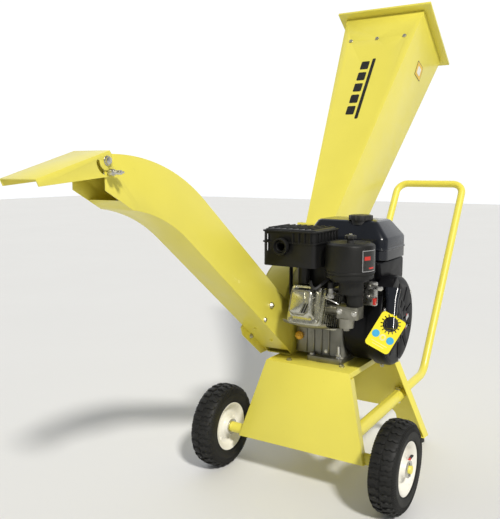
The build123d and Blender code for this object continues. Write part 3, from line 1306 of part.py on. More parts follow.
# air cleaner and carburettor
cleaner_y = AXLE_Y + CLEANER_Y
cleaner_middle = CLEANER_BOTTOM + 10.0
with BuildPart() as air_cleaner_base:
    with BuildSketch(Plane.XY.offset(CLEANER_BOTTOM)):
        with Locations((CLEANER_X, cleaner_y)):
            Circle(CLEANER_RADIUS - 3)
    extrude(amount=10 - SEAT)
    with BuildSketch(Plane.XY.offset(CLEANER_BOTTOM - 8)):
        with Locations((CLEANER_X, cleaner_y)):
            Circle(CLEANER_RADIUS - 14)
    extrude(amount=9)
    with BuildSketch(Plane.XY.offset(CLEANER_BOTTOM - 40)):
        with Locations((CLEANER_X + 4, cleaner_y)):
            Circle(30)
    extrude(amount=33)
    with BuildSketch(Plane.XY.offset(CLEANER_BOTTOM - 70)):
        with Locations((CLEANER_X + 12, cleaner_y + 4)):
            Circle(20)
    extrude(amount=40)
    with BuildSketch(Plane.XY.offset(CLEANER_BOTTOM + 9)):
        with Locations((CLEANER_X, cleaner_y)):
            Circle(3)
    extrude(amount=CLEANER_TOP - CLEANER_BOTTOM + 2)
save(air_cleaner_base.part, "air_cleaner_base")

with BuildPart() as air_cleaner_cover:
    with BuildSketch(Plane.XY.offset(cleaner_middle)):
        with Locations((CLEANER_X, cleaner_y)):
            Circle(CLEANER_RADIUS)
    extrude(amount=CLEANER_TOP - cleaner_middle)
    chamfer(air_cleaner_cover.edges().group_by(Axis.Z)[-1], 7)
    with BuildSketch(Plane.XY.offset(cleaner_middle - 1)):
        with Locations((CLEANER_X, cleaner_y)):
            Circle(CLEANER_RADIUS - COVER_WALL)
    extrude(amount=CLEANER_TOP - cleaner_middle - 8, mode=Mode.SUBTRACT)
    with BuildSketch(Plane.XY.offset(cleaner_middle)):
        with Locations((CLEANER_X, cleaner_y)):
            Circle(3 + SEAT)
    extrude(amount=120, mode=Mode.SUBTRACT)
save(air_cleaner_cover.part, "air_cleaner_cover")

with BuildPart() as air_cleaner_knob:
    with BuildSketch(Plane.XY.offset(CLEANER_TOP + SEAT)):
        with Locations((CLEANER_X, cleaner_y)):
            Circle(10)
    extrude(amount=8)
    with BuildSketch(Plane.XY.offset(CLEANER_TOP + 8)):
        with Locations((CLEANER_X, cleaner_y)):
            Circle(14)
            with PolarLocations(15, 8):
                Circle(2.6, mode=Mode.SUBTRACT)
    extrude(amount=10)
    with BuildSketch(Plane.XY.offset(CLEANER_TOP)):
        with Locations((CLEANER_X, cleaner_y)):
            Circle(3 + SHAFT_CLEARANCE)
    extrude(amount=12, mode=Mode.SUBTRACT)
save(air_cleaner_knob.part, "air_cleaner_knob")

carb_top = CLEANER_BOTTOM - 70 - SEAT
head_side = CYLINDER_X + CYLINDER_FIN / 2
with BuildPart() as carburettor:
    with BuildSketch(Plane.XY.offset(carb_top)):
        with Locations((CLEANER_X + 2, cleaner_y)):
            RectangleRounded(56, 44, 6)
    extrude(amount=-30)
    with BuildSketch(side_plane(head_side + SEAT)):
        with Locations((cleaner_y + 4, carb_top - 14)):
            Circle(14)
    extrude(amount=CLEANER_X - head_side - 10)
    with BuildSketch(Plane.XY.offset(carb_top - 29)):
        with Locations((CLEANER_X - 4, cleaner_y - 6)):
            Circle(21)
    extrude(amount=-24, taper=6)
    with BuildSketch(Plane.XY.offset(carb_top - 52)):
        with Locations((CLEANER_X - 4, cleaner_y - 6)):
            RegularPolygon(8, 6)
    extrude(amount=-9)
save(carburettor.part, "carburettor")

# muffler and its guard
muffler_x = -35.0
muffler_y = AXLE_Y + 6.0
muffler_z = 627.0
with BuildPart() as muffler:
    with BuildSketch(Plane.XY.offset(muffler_z - 38)):
        with Locations((muffler_x, muffler_y)):
            RectangleRounded(92, 84, 20)
    extrude(amount=68)
    fillet(muffler.edges().group_by(Axis.Z)[-1], 10)
    with BuildSketch(Plane.XZ.offset(-(muffler_y - 40))):
        with Locations((muffler_x, muffler_z)):
            Circle(14)
    extrude(amount=26)
    with BuildSketch(Plane.XZ.offset(-(muffler_y - 67))):
        with Locations((muffler_x, muffler_z)):
            Circle(11)
    extrude(amount=-40, mode=Mode.SUBTRACT)
    with BuildSketch(Plane.XY.offset(muffler_z - 37)):
        with Locations((CYLINDER_X - 20, muffler_y + 10)):
            Circle(16)
    extrude(amount=-62)
save(muffler.part, "muffler")

guard_left = -93.0
guard_right = 53.0
guard_front = AXLE_Y - 47.0
guard_back = AXLE_Y + 84.0
guard_low = 577.0
guard_top = 669.0
guard_sheet = 1.6
with BuildPart() as muffler_guard:
    guard_x = (guard_left + guard_right) / 2
    guard_y = (guard_front + guard_back) / 2
    with BuildSketch(Plane.XY.offset(guard_low)):
        with Locations((guard_x, guard_y)):
            RectangleRounded(guard_right - guard_left, guard_back - guard_front, 12)
    extrude(amount=guard_top - guard_low)
    fillet(muffler_guard.edges().group_by(Axis.Z)[-1], 10)
    with BuildSketch(Plane.XY.offset(guard_low - 1)):
        with Locations((guard_x, guard_y)):
            RectangleRounded(
                guard_right - guard_left - 2 * guard_sheet, guard_back - guard_front - 2 * guard_sheet, 10.5
            )
    extrude(amount=guard_top - guard_low + 1 - 10, mode=Mode.SUBTRACT)
    with BuildSketch(Plane.XY.offset(guard_top - 11)):
        with Locations((guard_x, guard_y)):
            RectangleRounded(guard_right - guard_left - 20, guard_back - guard_front - 20, 6)
    extrude(amount=11 - guard_sheet, mode=Mode.SUBTRACT)
    with BuildSketch(Plane.XZ.offset(-(guard_front - 5))):
        with Locations((muffler_x, muffler_z)):
            Circle(19)
        with Locations((guard_left + 16, muffler_z + 8)):
            SlotOverall(44, 8, 90)
    extrude(amount=-15, mode=Mode.SUBTRACT)
    with BuildSketch(Plane.XY.offset(guard_top - 5)):
        with Locations((guard_x, guard_y)):
            with GridLocations(17, 1, 7, 1):
                SlotOverall(84, 6, 90)
    extrude(amount=10, mode=Mode.SUBTRACT)
    with BuildSketch(side_plane(guard_left - 5)):
        with Locations((guard_y, muffler_z + 2)):
            with GridLocations(17, 1, 6, 1):
                SlotOverall(50, 6, 90)
    extrude(amount=12, mode=Mode.SUBTRACT)
    # strap down to the cylinder's side
    strap_x = CYLINDER_X - CYLINDER_FIN / 2 - SEAT - FRAME_SHEET
    for low, high, front, back in ((500.0, guard_low + 4, AXLE_Y - 6, AXLE_Y + 8), (guard_low, guard_low + 6, guard_front + 1, AXLE_Y + 8)):
        with BuildSketch(side_plane(strap_x)):
            with Locations(((front + back) / 2, (low + high) / 2)):
                Rectangle(back - front, high - low)
        extrude(amount=FRAME_SHEET)
save(muffler_guard.part, "muffler_guard")

# controls on the engine's right front
lever_y = AXLE_Y + 50.0
controls = ((150.0, 528.0, 34.0, 0.0, "throttle_lever"), (146.0, 503.0, 24.0, -25.0, "choke_lever"))
for lever_x, lever_z, reach, droop, name in controls:
    lever_plane = Plane(origin=(lever_x, lever_y, lever_z), x_dir=(1, 0, 0), z_dir=(0, -1, 0))
    with BuildPart() as lever:
        with BuildSketch(lever_plane):
            Circle(6)
            with Locations(Location((0, 0, 0), (0, 0, droop))):
                with Locations((reach / 2, 0)):
                    SlotOverall(reach + 8, 8)
        extrude(amount=3)
        with BuildSketch(lever_plane.offset(2)):
            with Locations(Location((0, 0, 0), (0, 0, droop))):
                with Locations((reach - 3, 0)):
                    SlotOverall(16, 10, 0)
        extrude(amount=5)
        with BuildSketch(lever_plane):
            Circle(3)
        extrude(amount=-12)
    save(lever.part, name)

with BuildPart() as control_plate:
    with BuildSketch(Plane.XZ.offset(-(lever_y + 8))):
        with Locations((150, 512)):
            RectangleRounded(44, 60, 6)
        for lever_x, lever_z, reach, droop, name in controls:
            with Locations((lever_x, lever_z)):
                Circle(3 + SHAFT_CLEARANCE, mode=Mode.SUBTRACT)
    extrude(amount=3)
    with BuildSketch(Plane.XZ.offset(-(lever_y + 7.9))):
        with Locations((CASE_RIGHT + 40, 530)):
            Rectangle(60, 12)
    extrude(amount=2.9)
    with BuildSketch(Plane.XZ.offset(-(lever_y + 7.5))):
        with Locations((cover_split - 10, 500)):
            Rectangle(14, 8)
    extrude(amount=-21.2)
save(control_plate.part, "control_plate")

oil_plug_y = case_front - SEAT
with BuildPart() as oil_plug:
    with BuildSketch(Plane.XZ.offset(-oil_plug_y)):
        with Locations((-58, 372)):
            Circle(11.5)
            with PolarLocations(12.5, 10):
                Circle(1.8, mode=Mode.SUBTRACT)
    extrude(amount=14)
save(oil_plug.part, "oil_plug")

# ---------------------------------------------------------------- sheet-metal bolts
panel = []
for place in range(-1, 2):
    point = mouth_point + down * CURTAIN_DROP + Vector(place * SCREW_SPACING, 0, 0)
    panel.append(bolt(point, -inward, BODY_SHEET))
panel.append(rod(hang_point - Vector(rod_half, 0, 0), (1, 0, 0), ROD_RADIUS, 2 * rod_half))
for side in (-1, 1):
    for end in (0.5, -0.5):
        point = mouth_point + down * HOPPER_LENGTH
        point = point + inward * (HOPPER_NECK_DEPTH / 2 + end * (HOPPER_NECK_DEPTH + NECK_FLANGE))
        point = point + Vector(side * (HOUSING_WIDTH + NECK_FLANGE) / 2, 0, 0)
        panel.append(bolt(point, -down, 2 * FRAME_SHEET + SEAT))
for end_x in (-1, 1):
    for end_y in (-1, 1):
        x = ENGINE_BASE_X + end_x * ENGINE_HOLE_X / 2
        y = engine_middle + end_y * ENGINE_HOLE_Y / 2
        panel.append(bolt((x, y, base_top), (0, 0, 1), ENGINE_BASE_THICKNESS + SEAT + FRAME_SHEET, BOLT_RADIUS))
with BuildPart() as panel_bolts:
    add(panel)
save(panel_bolts.part, "panel_bolts")
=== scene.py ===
import json
import math

import bmesh
import bpy
from bpy.props import FloatProperty, FloatVectorProperty, IntProperty, PointerProperty
from mathutils import Matrix, Vector
from mathutils.geometry import tessellate_polygon


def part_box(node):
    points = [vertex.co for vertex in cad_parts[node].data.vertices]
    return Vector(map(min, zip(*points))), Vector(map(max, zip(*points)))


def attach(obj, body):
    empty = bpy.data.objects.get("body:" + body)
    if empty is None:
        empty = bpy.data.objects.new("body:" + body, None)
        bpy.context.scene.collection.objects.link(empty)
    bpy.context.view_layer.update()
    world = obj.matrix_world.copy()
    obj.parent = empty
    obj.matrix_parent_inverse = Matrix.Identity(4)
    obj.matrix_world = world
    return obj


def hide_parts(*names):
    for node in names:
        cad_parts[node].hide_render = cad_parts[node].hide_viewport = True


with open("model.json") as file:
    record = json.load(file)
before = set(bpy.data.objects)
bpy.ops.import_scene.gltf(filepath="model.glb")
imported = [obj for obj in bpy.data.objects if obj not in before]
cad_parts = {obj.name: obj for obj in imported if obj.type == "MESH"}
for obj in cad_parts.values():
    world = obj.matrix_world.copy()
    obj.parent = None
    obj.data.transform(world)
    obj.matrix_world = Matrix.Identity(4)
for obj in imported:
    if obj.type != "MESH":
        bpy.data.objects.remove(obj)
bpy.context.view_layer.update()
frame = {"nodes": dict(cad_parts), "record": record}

bl_info = {
    "name": "Wood Chipper",
    "version": (1, 0, 0),
    "blender": (4, 5, 0),
    "location": "View3D > Sidebar > Chipper",
    "description": "Builds and finishes a two-wheeled engine-driven wood chipper round its fixed frame",
    "category": "Object",
}

MM = 0.001
RECORD = frame["record"]
BODY_OF = {node: body for body, nodes in RECORD["behaviour"]["bodies"].items() for node in nodes}


def middle(node):
    """Middle of a CAD node's box, in millimetres."""
    low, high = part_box(node)
    return (low + high) / 2 / MM


AXLE = middle("axle")
CRANK = middle("flywheel")
DECK_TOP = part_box("engine_deck")[1].z / MM
ENGINE_FRONT = AXLE.y + 92
MOUTH_DEPTH, MOUTH_HALF, NECK_HALF, WALL_LENGTH = 239.4, 139.8, 41.5, 846.0
GRIP_BASE = Vector((195.0, AXLE.y + 97.0, 521.0))
GRIP_PULL = Vector((0.15, -0.50, -0.85)).normalized()
GRIP_TO_CARD = 92.0
TYRE_HALF_WIDTH = 32.8
BEAD_COUNT, BEAD_PITCH = 26, 3.0
LAMP_POWER, LAMP_AIM = 2.95, (-0.58, 0.46, -0.67)
CAMERA_PLACE, CAMERA_TURN, CAMERA_TILT = (0.7682, -1.6062, 0.8175), 32.209, 7.788
LENS, SENSOR = 46.72, 36.0
FLOOR_HALF = 14.0


# ---------------------------------------------------------------- materials
def socket(node, name, value):
    node.inputs[name].default_value = value


def new_material(name):
    """Empty material with a shader, its output and an Object coordinate node."""
    material = bpy.data.materials.new(name)
    material.use_nodes = True
    tree = material.node_tree
    tree.nodes.clear()
    out = tree.nodes.new("ShaderNodeOutputMaterial")
    shader = tree.nodes.new("ShaderNodeBsdfPrincipled")
    coords = tree.nodes.new("ShaderNodeTexCoord")
    tree.links.new(shader.outputs[0], out.inputs[0])
    return material, tree, shader, coords


def noise(tree, coords, scale, detail=4.0, stretch=(1, 1, 1), roughness=0.5):
    """Noise on Object coordinates, optionally drawn out along an axis."""
    mapping = tree.nodes.new("ShaderNodeMapping")
    socket(mapping, "Scale", stretch)
    tree.links.new(coords.outputs["Object"], mapping.inputs["Vector"])
    texture = tree.nodes.new("ShaderNodeTexNoise")
    socket(texture, "Scale", scale)
    socket(texture, "Detail", detail)
    socket(texture, "Roughness", roughness)
    tree.links.new(mapping.outputs[0], texture.inputs["Vector"])
    return texture.outputs["Fac"]


def ramp(tree, factor, stops):
    """Colour ramp with (place, colour) stops."""
    node = tree.nodes.new("ShaderNodeValToRGB")
    elements = node.color_ramp.elements
    while len(elements) < len(stops):
        elements.new(0.5)
    for element, (place, colour) in zip(elements, stops):
        element.position = place
        element.color = (*colour, 1)
    tree.links.new(factor, node.inputs[0])
    return node.outputs[0]


def mixed(tree, factor, first, second):
    """Mix of two colour sockets by a factor socket."""
    node = tree.nodes.new("ShaderNodeMix")
    node.data_type = "RGBA"
    tree.links.new(factor, node.inputs[0])
    for place, value in ((6, first), (7, second)):
        if isinstance(value, tuple):
            node.inputs[place].default_value = (*value, 1)
        else:
            tree.links.new(value, node.inputs[place])
    return node.outputs[2]


def bump(tree, shader, height, strength, distance):
    node = tree.nodes.new("ShaderNodeBump")
    socket(node, "Strength", strength)
    socket(node, "Distance", distance)
    tree.links.new(height, node.inputs["Height"])
    if shader.inputs["Normal"].is_linked:
        previous = shader.inputs["Normal"].links[0].from_socket
        tree.links.new(previous, node.inputs["Normal"])
    tree.links.new(node.outputs[0], shader.inputs["Normal"])


def scaled(colour, factor):
    return tuple(min(1.0, value * factor) for value in colour)


def finish(name, colour, rough=(0.3, 0.45), metallic=0.0, cloud=6.0, vary=0.06, grain=900.0, bite=0.08,
           depth=0.0002, coat=0.0, specular=0.5, specks=0.0, speck_colour=(0.2, 0.2, 0.2), stretch=(1, 1, 1)):
    """Painted, moulded, cast or plated finish: clouded colour, uneven gloss, grain bump and specks of dirt."""
    material, tree, shader, coords = new_material(name)
    clouds = noise(tree, coords, cloud, 5.0, stretch)
    base = ramp(tree, clouds, [(0.3, scaled(colour, 1 - vary)), (0.7, scaled(colour, 1 + vary))])
    if specks > 0:
        dirt = noise(tree, coords, 55.0, 8.0, (1, 1, 1), 0.7)
        mask = ramp(tree, dirt, [(0.62 - specks * 0.1, (0, 0, 0)), (0.75, (specks, specks, specks))])
        base = mixed(tree, mask, base, speck_colour)
    tree.links.new(base, shader.inputs["Base Color"])
    gloss = noise(tree, coords, cloud * 4, 6.0, stretch)
    low, high = rough
    rough_map = ramp(tree, gloss, [(0.3, (low, low, low)), (0.75, (high, high, high))])
    tree.links.new(rough_map, shader.inputs["Roughness"])
    socket(shader, "Metallic", metallic)
    socket(shader, "Specular IOR Level", specular)
    if coat > 0:
        socket(shader, "Coat Weight", coat)
        socket(shader, "Coat Roughness", 0.12)
    bump(tree, shader, noise(tree, coords, grain, 3.0, stretch), bite, depth)
    return material


PAINT = {}


def make_finishes(choices):
    """Every finish on the machine."""
    yellow = tuple(choices.body_colour)
    PAINT["yellow"] = finish("pale yellow powder coat", yellow, (0.34, 0.46), vary=0.03, grain=420.0, bite=0.12,
                             coat=0.15, specks=0.10, speck_colour=scaled(yellow, 0.55))
    PAINT["white"] = finish("cream rim enamel", tuple(choices.rim_colour), (0.3, 0.5), vary=0.05, grain=500.0,
                            specks=0.5, speck_colour=(0.42, 0.36, 0.26))
    PAINT["zinc"] = finish("zinc plating", (0.62, 0.61, 0.57), (0.2, 0.42), 1.0, 40.0, 0.18, 1500.0, 0.1,
                           specks=0.3, speck_colour=(0.25, 0.22, 0.17))
    PAINT["steel"] = finish("machined steel", (0.42, 0.42, 0.43), (0.22, 0.4), 1.0, 30.0, 0.15, 1200.0, 0.15,
                            stretch=(1, 8, 8))
    PAINT["alloy"] = finish("die cast alloy", (0.58, 0.57, 0.48), (0.20, 0.34), 1.0, 25.0, 0.12, 1300.0, 0.35,
                            0.0003, specks=0.3, speck_colour=(0.2, 0.19, 0.15))
    PAINT["grey alloy"] = finish("weathered cast alloy", (0.25, 0.245, 0.21), (0.3, 0.5), 0.85, 25.0, 0.2, 900.0,
                                 0.5, 0.0004, specks=0.4, speck_colour=(0.08, 0.07, 0.05))
    PAINT["gloss black"] = finish("gloss black enamel", (0.012, 0.014, 0.019), (0.14, 0.26), vary=0.2, grain=260.0,
                                  bite=0.06, coat=0.15, specular=0.30, specks=0.1, speck_colour=(0.04, 0.04, 0.04))
    PAINT["deep black"] = finish("moulded black fan cover", (0.006, 0.006, 0.007), (0.32, 0.46), vary=0.2,
                                 grain=500.0, bite=0.2, specular=0.12, specks=0.1, speck_colour=(0.03, 0.03, 0.03))
    PAINT["dull alloy"] = finish("dull cast alloy", (0.30, 0.29, 0.24), (0.28, 0.46), 0.9, 30.0, 0.2, 1100.0, 0.4,
                                 0.0003, specks=0.5, speck_colour=(0.06, 0.055, 0.04))
    PAINT["satin black"] = finish("satin black enamel", (0.010, 0.010, 0.010), (0.34, 0.5), vary=0.25, grain=800.0,
                                  bite=0.3, specular=0.25, specks=0.2, speck_colour=(0.05, 0.045, 0.035))
    PAINT["texture black"] = finish("textured black cover", (0.011, 0.011, 0.010), (0.40, 0.55), vary=0.2,
                                    grain=620.0, bite=0.6, depth=0.0005, specular=0.28, specks=0.2,
                                    speck_colour=(0.05, 0.05, 0.045))
    PAINT["tyre"] = finish("tyre rubber", (0.013, 0.013, 0.012), (0.5, 0.72), vary=0.3, grain=700.0, bite=0.5,
                           depth=0.0004, specular=0.3, specks=0.4, speck_colour=(0.06, 0.055, 0.045))
    PAINT["rubber"] = finish("black rubber", (0.022, 0.022, 0.022), (0.5, 0.7), vary=0.2, grain=700.0, bite=0.4)
    PAINT["nylon"] = finish("black nylon", (0.03, 0.03, 0.03), (0.35, 0.5), vary=0.2)
    PAINT["card"] = finish("yellow card", (0.93, 0.80, 0.02), (0.3, 0.4), vary=0.03, grain=1800.0, bite=0.1)
    PAINT["blue ink"] = finish("blue ink", (0.05, 0.42, 0.72), (0.3, 0.4), vary=0.08, cloud=60.0)
    PAINT["pale ink"] = finish("pale ink", (0.80, 0.78, 0.40), (0.3, 0.4), vary=0.1, cloud=60.0)
    PAINT["black ink"] = finish("black decal film", (0.018, 0.018, 0.016), (0.25, 0.35), vary=0.3, cloud=30.0)
    PAINT["amber"] = finish("amber decal film", (0.80, 0.52, 0.05), (0.3, 0.4), vary=0.06, cloud=40.0)
    PAINT["silver ink"] = finish("silver decal film", (0.55, 0.55, 0.55), (0.25, 0.35), 0.8, vary=0.1)
    PAINT["red"] = finish("red plastic", (0.55, 0.03, 0.02), (0.3, 0.45), vary=0.12, cloud=50.0)
    PAINT["plug"] = finish("amber plug plastic", (0.86, 0.48, 0.05), (0.3, 0.45), vary=0.15, cloud=90.0)
    PAINT["ceramic"] = finish("plug ceramic", (0.75, 0.74, 0.70), (0.15, 0.3), vary=0.05)
    PAINT["rope"] = finish("braided cord", (0.05, 0.05, 0.05), (0.6, 0.8), vary=0.4, cloud=900.0, grain=1600.0,
                           bite=0.8, depth=0.0006)
    PAINT["floor"] = finish("pale floor", (0.74, 0.74, 0.73), (0.6, 0.75), vary=0.008, cloud=1.2, grain=120.0,
                            bite=0.02)


# ---------------------------------------------------------------- mesh helpers
def mesh_of(name, bm, angle=35.0):
    """Mesh from bmesh, smooth except at edges sharper than angle."""
    mesh = bpy.data.meshes.new(name)
    bm.normal_update()
    bm.to_mesh(mesh)
    bm.free()
    shade(mesh, angle)
    return mesh


def shade(mesh, angle=35.0):
    mesh.shade_smooth()
    mesh.set_sharp_from_angle(angle=math.radians(angle))


def evaluated(mesh, setup):
    """Mesh after the modifiers that setup(obj) adds, with no modifier left."""
    obj = bpy.data.objects.new("shaping", mesh)
    bpy.context.scene.collection.objects.link(obj)
    setup(obj)
    bpy.context.view_layer.update()
    graph = bpy.context.evaluated_depsgraph_get()
    result = bpy.data.meshes.new_from_object(obj.evaluated_get(graph))
    bpy.data.objects.remove(obj)
    return result


def softened(mesh, width, segments=2, angle=32.0):
    """Mesh with its sharp edges rounded off by width millimetres."""
    def setup(obj):
        bevel = obj.modifiers.new("rounding", "BEVEL")
        bevel.width = width * MM
        bevel.segments = segments
        bevel.limit_method = "ANGLE"
        bevel.angle_limit = math.radians(angle)
        bevel.use_clamp_overlap = True
        bevel.harden_normals = False
    result = evaluated(mesh, setup)
    shade(result, 40.0)
    return result


def piece(name, mesh, finish_name, body, stands_for=()):
    """Object from a mesh in place, finished, riding on its body."""
    obj = bpy.data.objects.new(name, mesh)
    bpy.context.scene.collection.objects.link(obj)
    mesh.materials.clear()
    mesh.materials.append(PAINT[finish_name])
    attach(obj, body)
    if stands_for:
        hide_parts(*stands_for)
    return obj


def refined(node, finish_name, width=0.7, segments=2):
    """The CAD node's own shape, merged, with its edges rounded and its finish on."""
    bm = bmesh.new()
    bm.from_mesh(frame["nodes"][node].data)
    bmesh.ops.remove_doubles(bm, verts=bm.verts, dist=1e-6)
    bmesh.ops.dissolve_limit(bm, angle_limit=math.radians(0.4), verts=bm.verts, edges=bm.edges)
    mesh = mesh_of(node + "_finished", bm)
    if width > 0:
        mesh = softened(mesh, width, segments)
    return piece(node + "_finished", mesh, finish_name, BODY_OF[node], (node,))


def basis(direction, hint=(0, 0, 1)):
    """Two unit vectors square to direction."""
    along = Vector(direction).normalized()
    hint = Vector(hint)
    if abs(along.dot(hint.normalized())) > 0.95:
        hint = Vector((0, 1, 0))
    across = hint.cross(along).normalized()
    return across, along.cross(across)


def lathe(bm, profile, origin, direction=(1, 0, 0), segments=96, closed=True):
    """Turned ring or solid: profile holds (along, radius) in millimetres about a line through origin."""
    across, up = basis(direction)
    along = Vector(direction).normalized()
    origin = Vector(origin)
    rings = []
    for place, radius in profile:
        centre = origin + along * place
        if radius <= 1e-6:
            rings.append([bm.verts.new(centre * MM)])
            continue
        ring = []
        for step in range(segments):
            turn = 2 * math.pi * step / segments
            ring.append(bm.verts.new((centre + (across * math.cos(turn) + up * math.sin(turn)) * radius) * MM))
        rings.append(ring)
    pairs = list(zip(rings, rings[1:]))
    if closed:
        pairs.append((rings[-1], rings[0]))
    for first, second in pairs:
        for step in range(segments):
            after = (step + 1) % segments
            corners = [first[step % len(first)], first[after % len(first)], second[after % len(second)],
                       second[step % len(second)]]
            unique = []
            for corner in corners:
                if corner not in unique:
                    unique.append(corner)
            if len(unique) > 2:
                bm.faces.new(unique)


def outward(bm):
    bmesh.ops.remove_doubles(bm, verts=bm.verts, dist=1e-7)
    bmesh.ops.recalc_face_normals(bm, faces=bm.faces)


def plate(bm, outline, origin, right, up, thickness, holes=()):
    """Flat plate from a 2D outline with holes, lying in the plane of right and up, thickened along its normal."""
    origin, right, up = Vector(origin), Vector(right).normalized(), Vector(up).normalized()
    normal = right.cross(up).normalized()
    loops = [outline, *holes]
    flat = [[Vector((x, y, 0)) for x, y in loop] for loop in loops]
    points = [point for loop in flat for point in loop]
    triangles = tessellate_polygon(flat)
    sides = []
    for lift in (0.0, thickness):
        sides.append([bm.verts.new((origin + right * p.x + up * p.y + normal * lift) * MM) for p in points])
    for side in sides:
        for triangle in triangles:
            try:
                bm.faces.new([side[index] for index in triangle])
            except ValueError:
                continue
    start = 0
    for loop in loops:
        count = len(loop)
        for step in range(count):
            a, b = start + step, start + (step + 1) % count
            bm.faces.new([sides[0][a], sides[0][b], sides[1][b], sides[1][a]])
        start += count


def stacked(bm, rings):
    """Closed solid through rings of vertices, from the first to the last."""
    for first, second in zip(rings, rings[1:]):
        for k in range(len(first)):
            after = (k + 1) % len(first)
            bm.faces.new([first[k], first[after], second[after], second[k]])
    bm.faces.new(rings[-1])
    bm.faces.new(rings[0][::-1])


def solid(name, *shapes, angle=35.0):
    """Mesh of closed shapes, each given as a drawing function and its arguments."""
    bm = bmesh.new()
    for draw, *values in shapes:
        draw(bm, *values)
    outward(bm)
    return mesh_of(name, bm, angle)


def wheel_outline(steps, radius_at):
    """Closed outline whose radius is radius_at(step, angle)."""
    points = []
    for step in range(steps):
        angle = 2 * math.pi * step / steps
        radius = radius_at(step, angle)
        points.append((radius * math.cos(angle), radius * math.sin(angle)))
    return points


def rounded(width, height, radius, steps=6, centre=(0, 0), turn=0.0):
    """Rounded rectangle outline."""
    points = []
    for quadrant, (sx, sy) in enumerate(((1, 1), (-1, 1), (-1, -1), (1, -1))):
        cx, cy = sx * (width / 2 - radius), sy * (height / 2 - radius)
        for step in range(steps + 1):
            angle = math.pi / 2 * (quadrant + step / steps)
            points.append((cx + radius * math.cos(angle), cy + radius * math.sin(angle)))
    cos, sin = math.cos(turn), math.sin(turn)
    return [(centre[0] + x * cos - y * sin, centre[1] + x * sin + y * cos) for x, y in points]


def disc(radius, steps=24, centre=(0, 0)):
    return [(centre[0] + radius * math.cos(2 * math.pi * s / steps),
             centre[1] + radius * math.sin(2 * math.pi * s / steps)) for s in range(steps)]


def block(bm, low, high):
    """Plain box in millimetres; it is always softened before use."""
    size = [b - a for a, b in zip(low, high)]
    centre = [(a + b) / 2 for a, b in zip(low, high)]
    matrix = Matrix.Translation(Vector(centre) * MM) @ Matrix.Diagonal((*[s * MM for s in size], 1))
    bmesh.ops.create_cube(bm, size=1.0, matrix=matrix)


def tube(name, points, radius, order=3, resolution=10):
    """Mesh of a round wire or hose along a smooth line."""
    curve = bpy.data.curves.new(name, "CURVE")
    curve.dimensions = "3D"
    curve.bevel_depth = radius * MM
    curve.bevel_resolution = 4
    curve.use_fill_caps = True
    spline = curve.splines.new("NURBS")
    spline.points.add(len(points) - 1)
    for target, point in zip(spline.points, points):
        target.co = (*(Vector(point) * MM), 1)
    spline.order_u = order
    spline.use_endpoint_u = True
    spline.resolution_u = resolution
    obj = bpy.data.objects.new(name, curve)
    bpy.context.scene.collection.objects.link(obj)
    bpy.context.view_layer.update()
    graph = bpy.context.evaluated_depsgraph_get()
    mesh = bpy.data.meshes.new_from_object(obj.evaluated_get(graph))
    bpy.data.objects.remove(obj)
    shade(mesh, 50.0)
    return mesh


def hex_head(bm, at, direction, size, washer=True, tail=0.0):
    """Hexagon bolt head with its washer and a rounded tail of thread, standing on a surface."""
    at = Vector(at)
    along = Vector(direction).normalized()
    if washer:
        lathe(bm, [(0, 0), (0, size * 1.15), (size * 0.16, size * 1.2), (size * 0.24, size * 1.1),
                   (size * 0.24, 0)], at, along, 28, False)
    across, up = basis(direction)
    rings = []
    for lift, reach in ((0.2, 0.92), (0.26, 0.97), (0.72, 0.97), (0.84, 0.86)):
        rings.append([bm.verts.new((at + along * size * lift + (across * math.cos(math.pi / 3 * k)
                      + up * math.sin(math.pi / 3 * k)) * size * reach) * MM) for k in range(6)])
    for first, second in zip(rings, rings[1:]):
        for k in range(6):
            bm.faces.new([first[k], first[(k + 1) % 6], second[(k + 1) % 6], second[k]])
    bm.faces.new(rings[0][::-1])
    bm.faces.new(rings[-1])
    if tail > 0:
        lathe(bm, [(size * 0.8, 0), (size * 0.8, size * 0.5), (size * 0.8 + tail - 0.6, size * 0.5),
                   (size * 0.8 + tail, size * 0.38), (size * 0.8 + tail, 0)], at, along, 16, False)


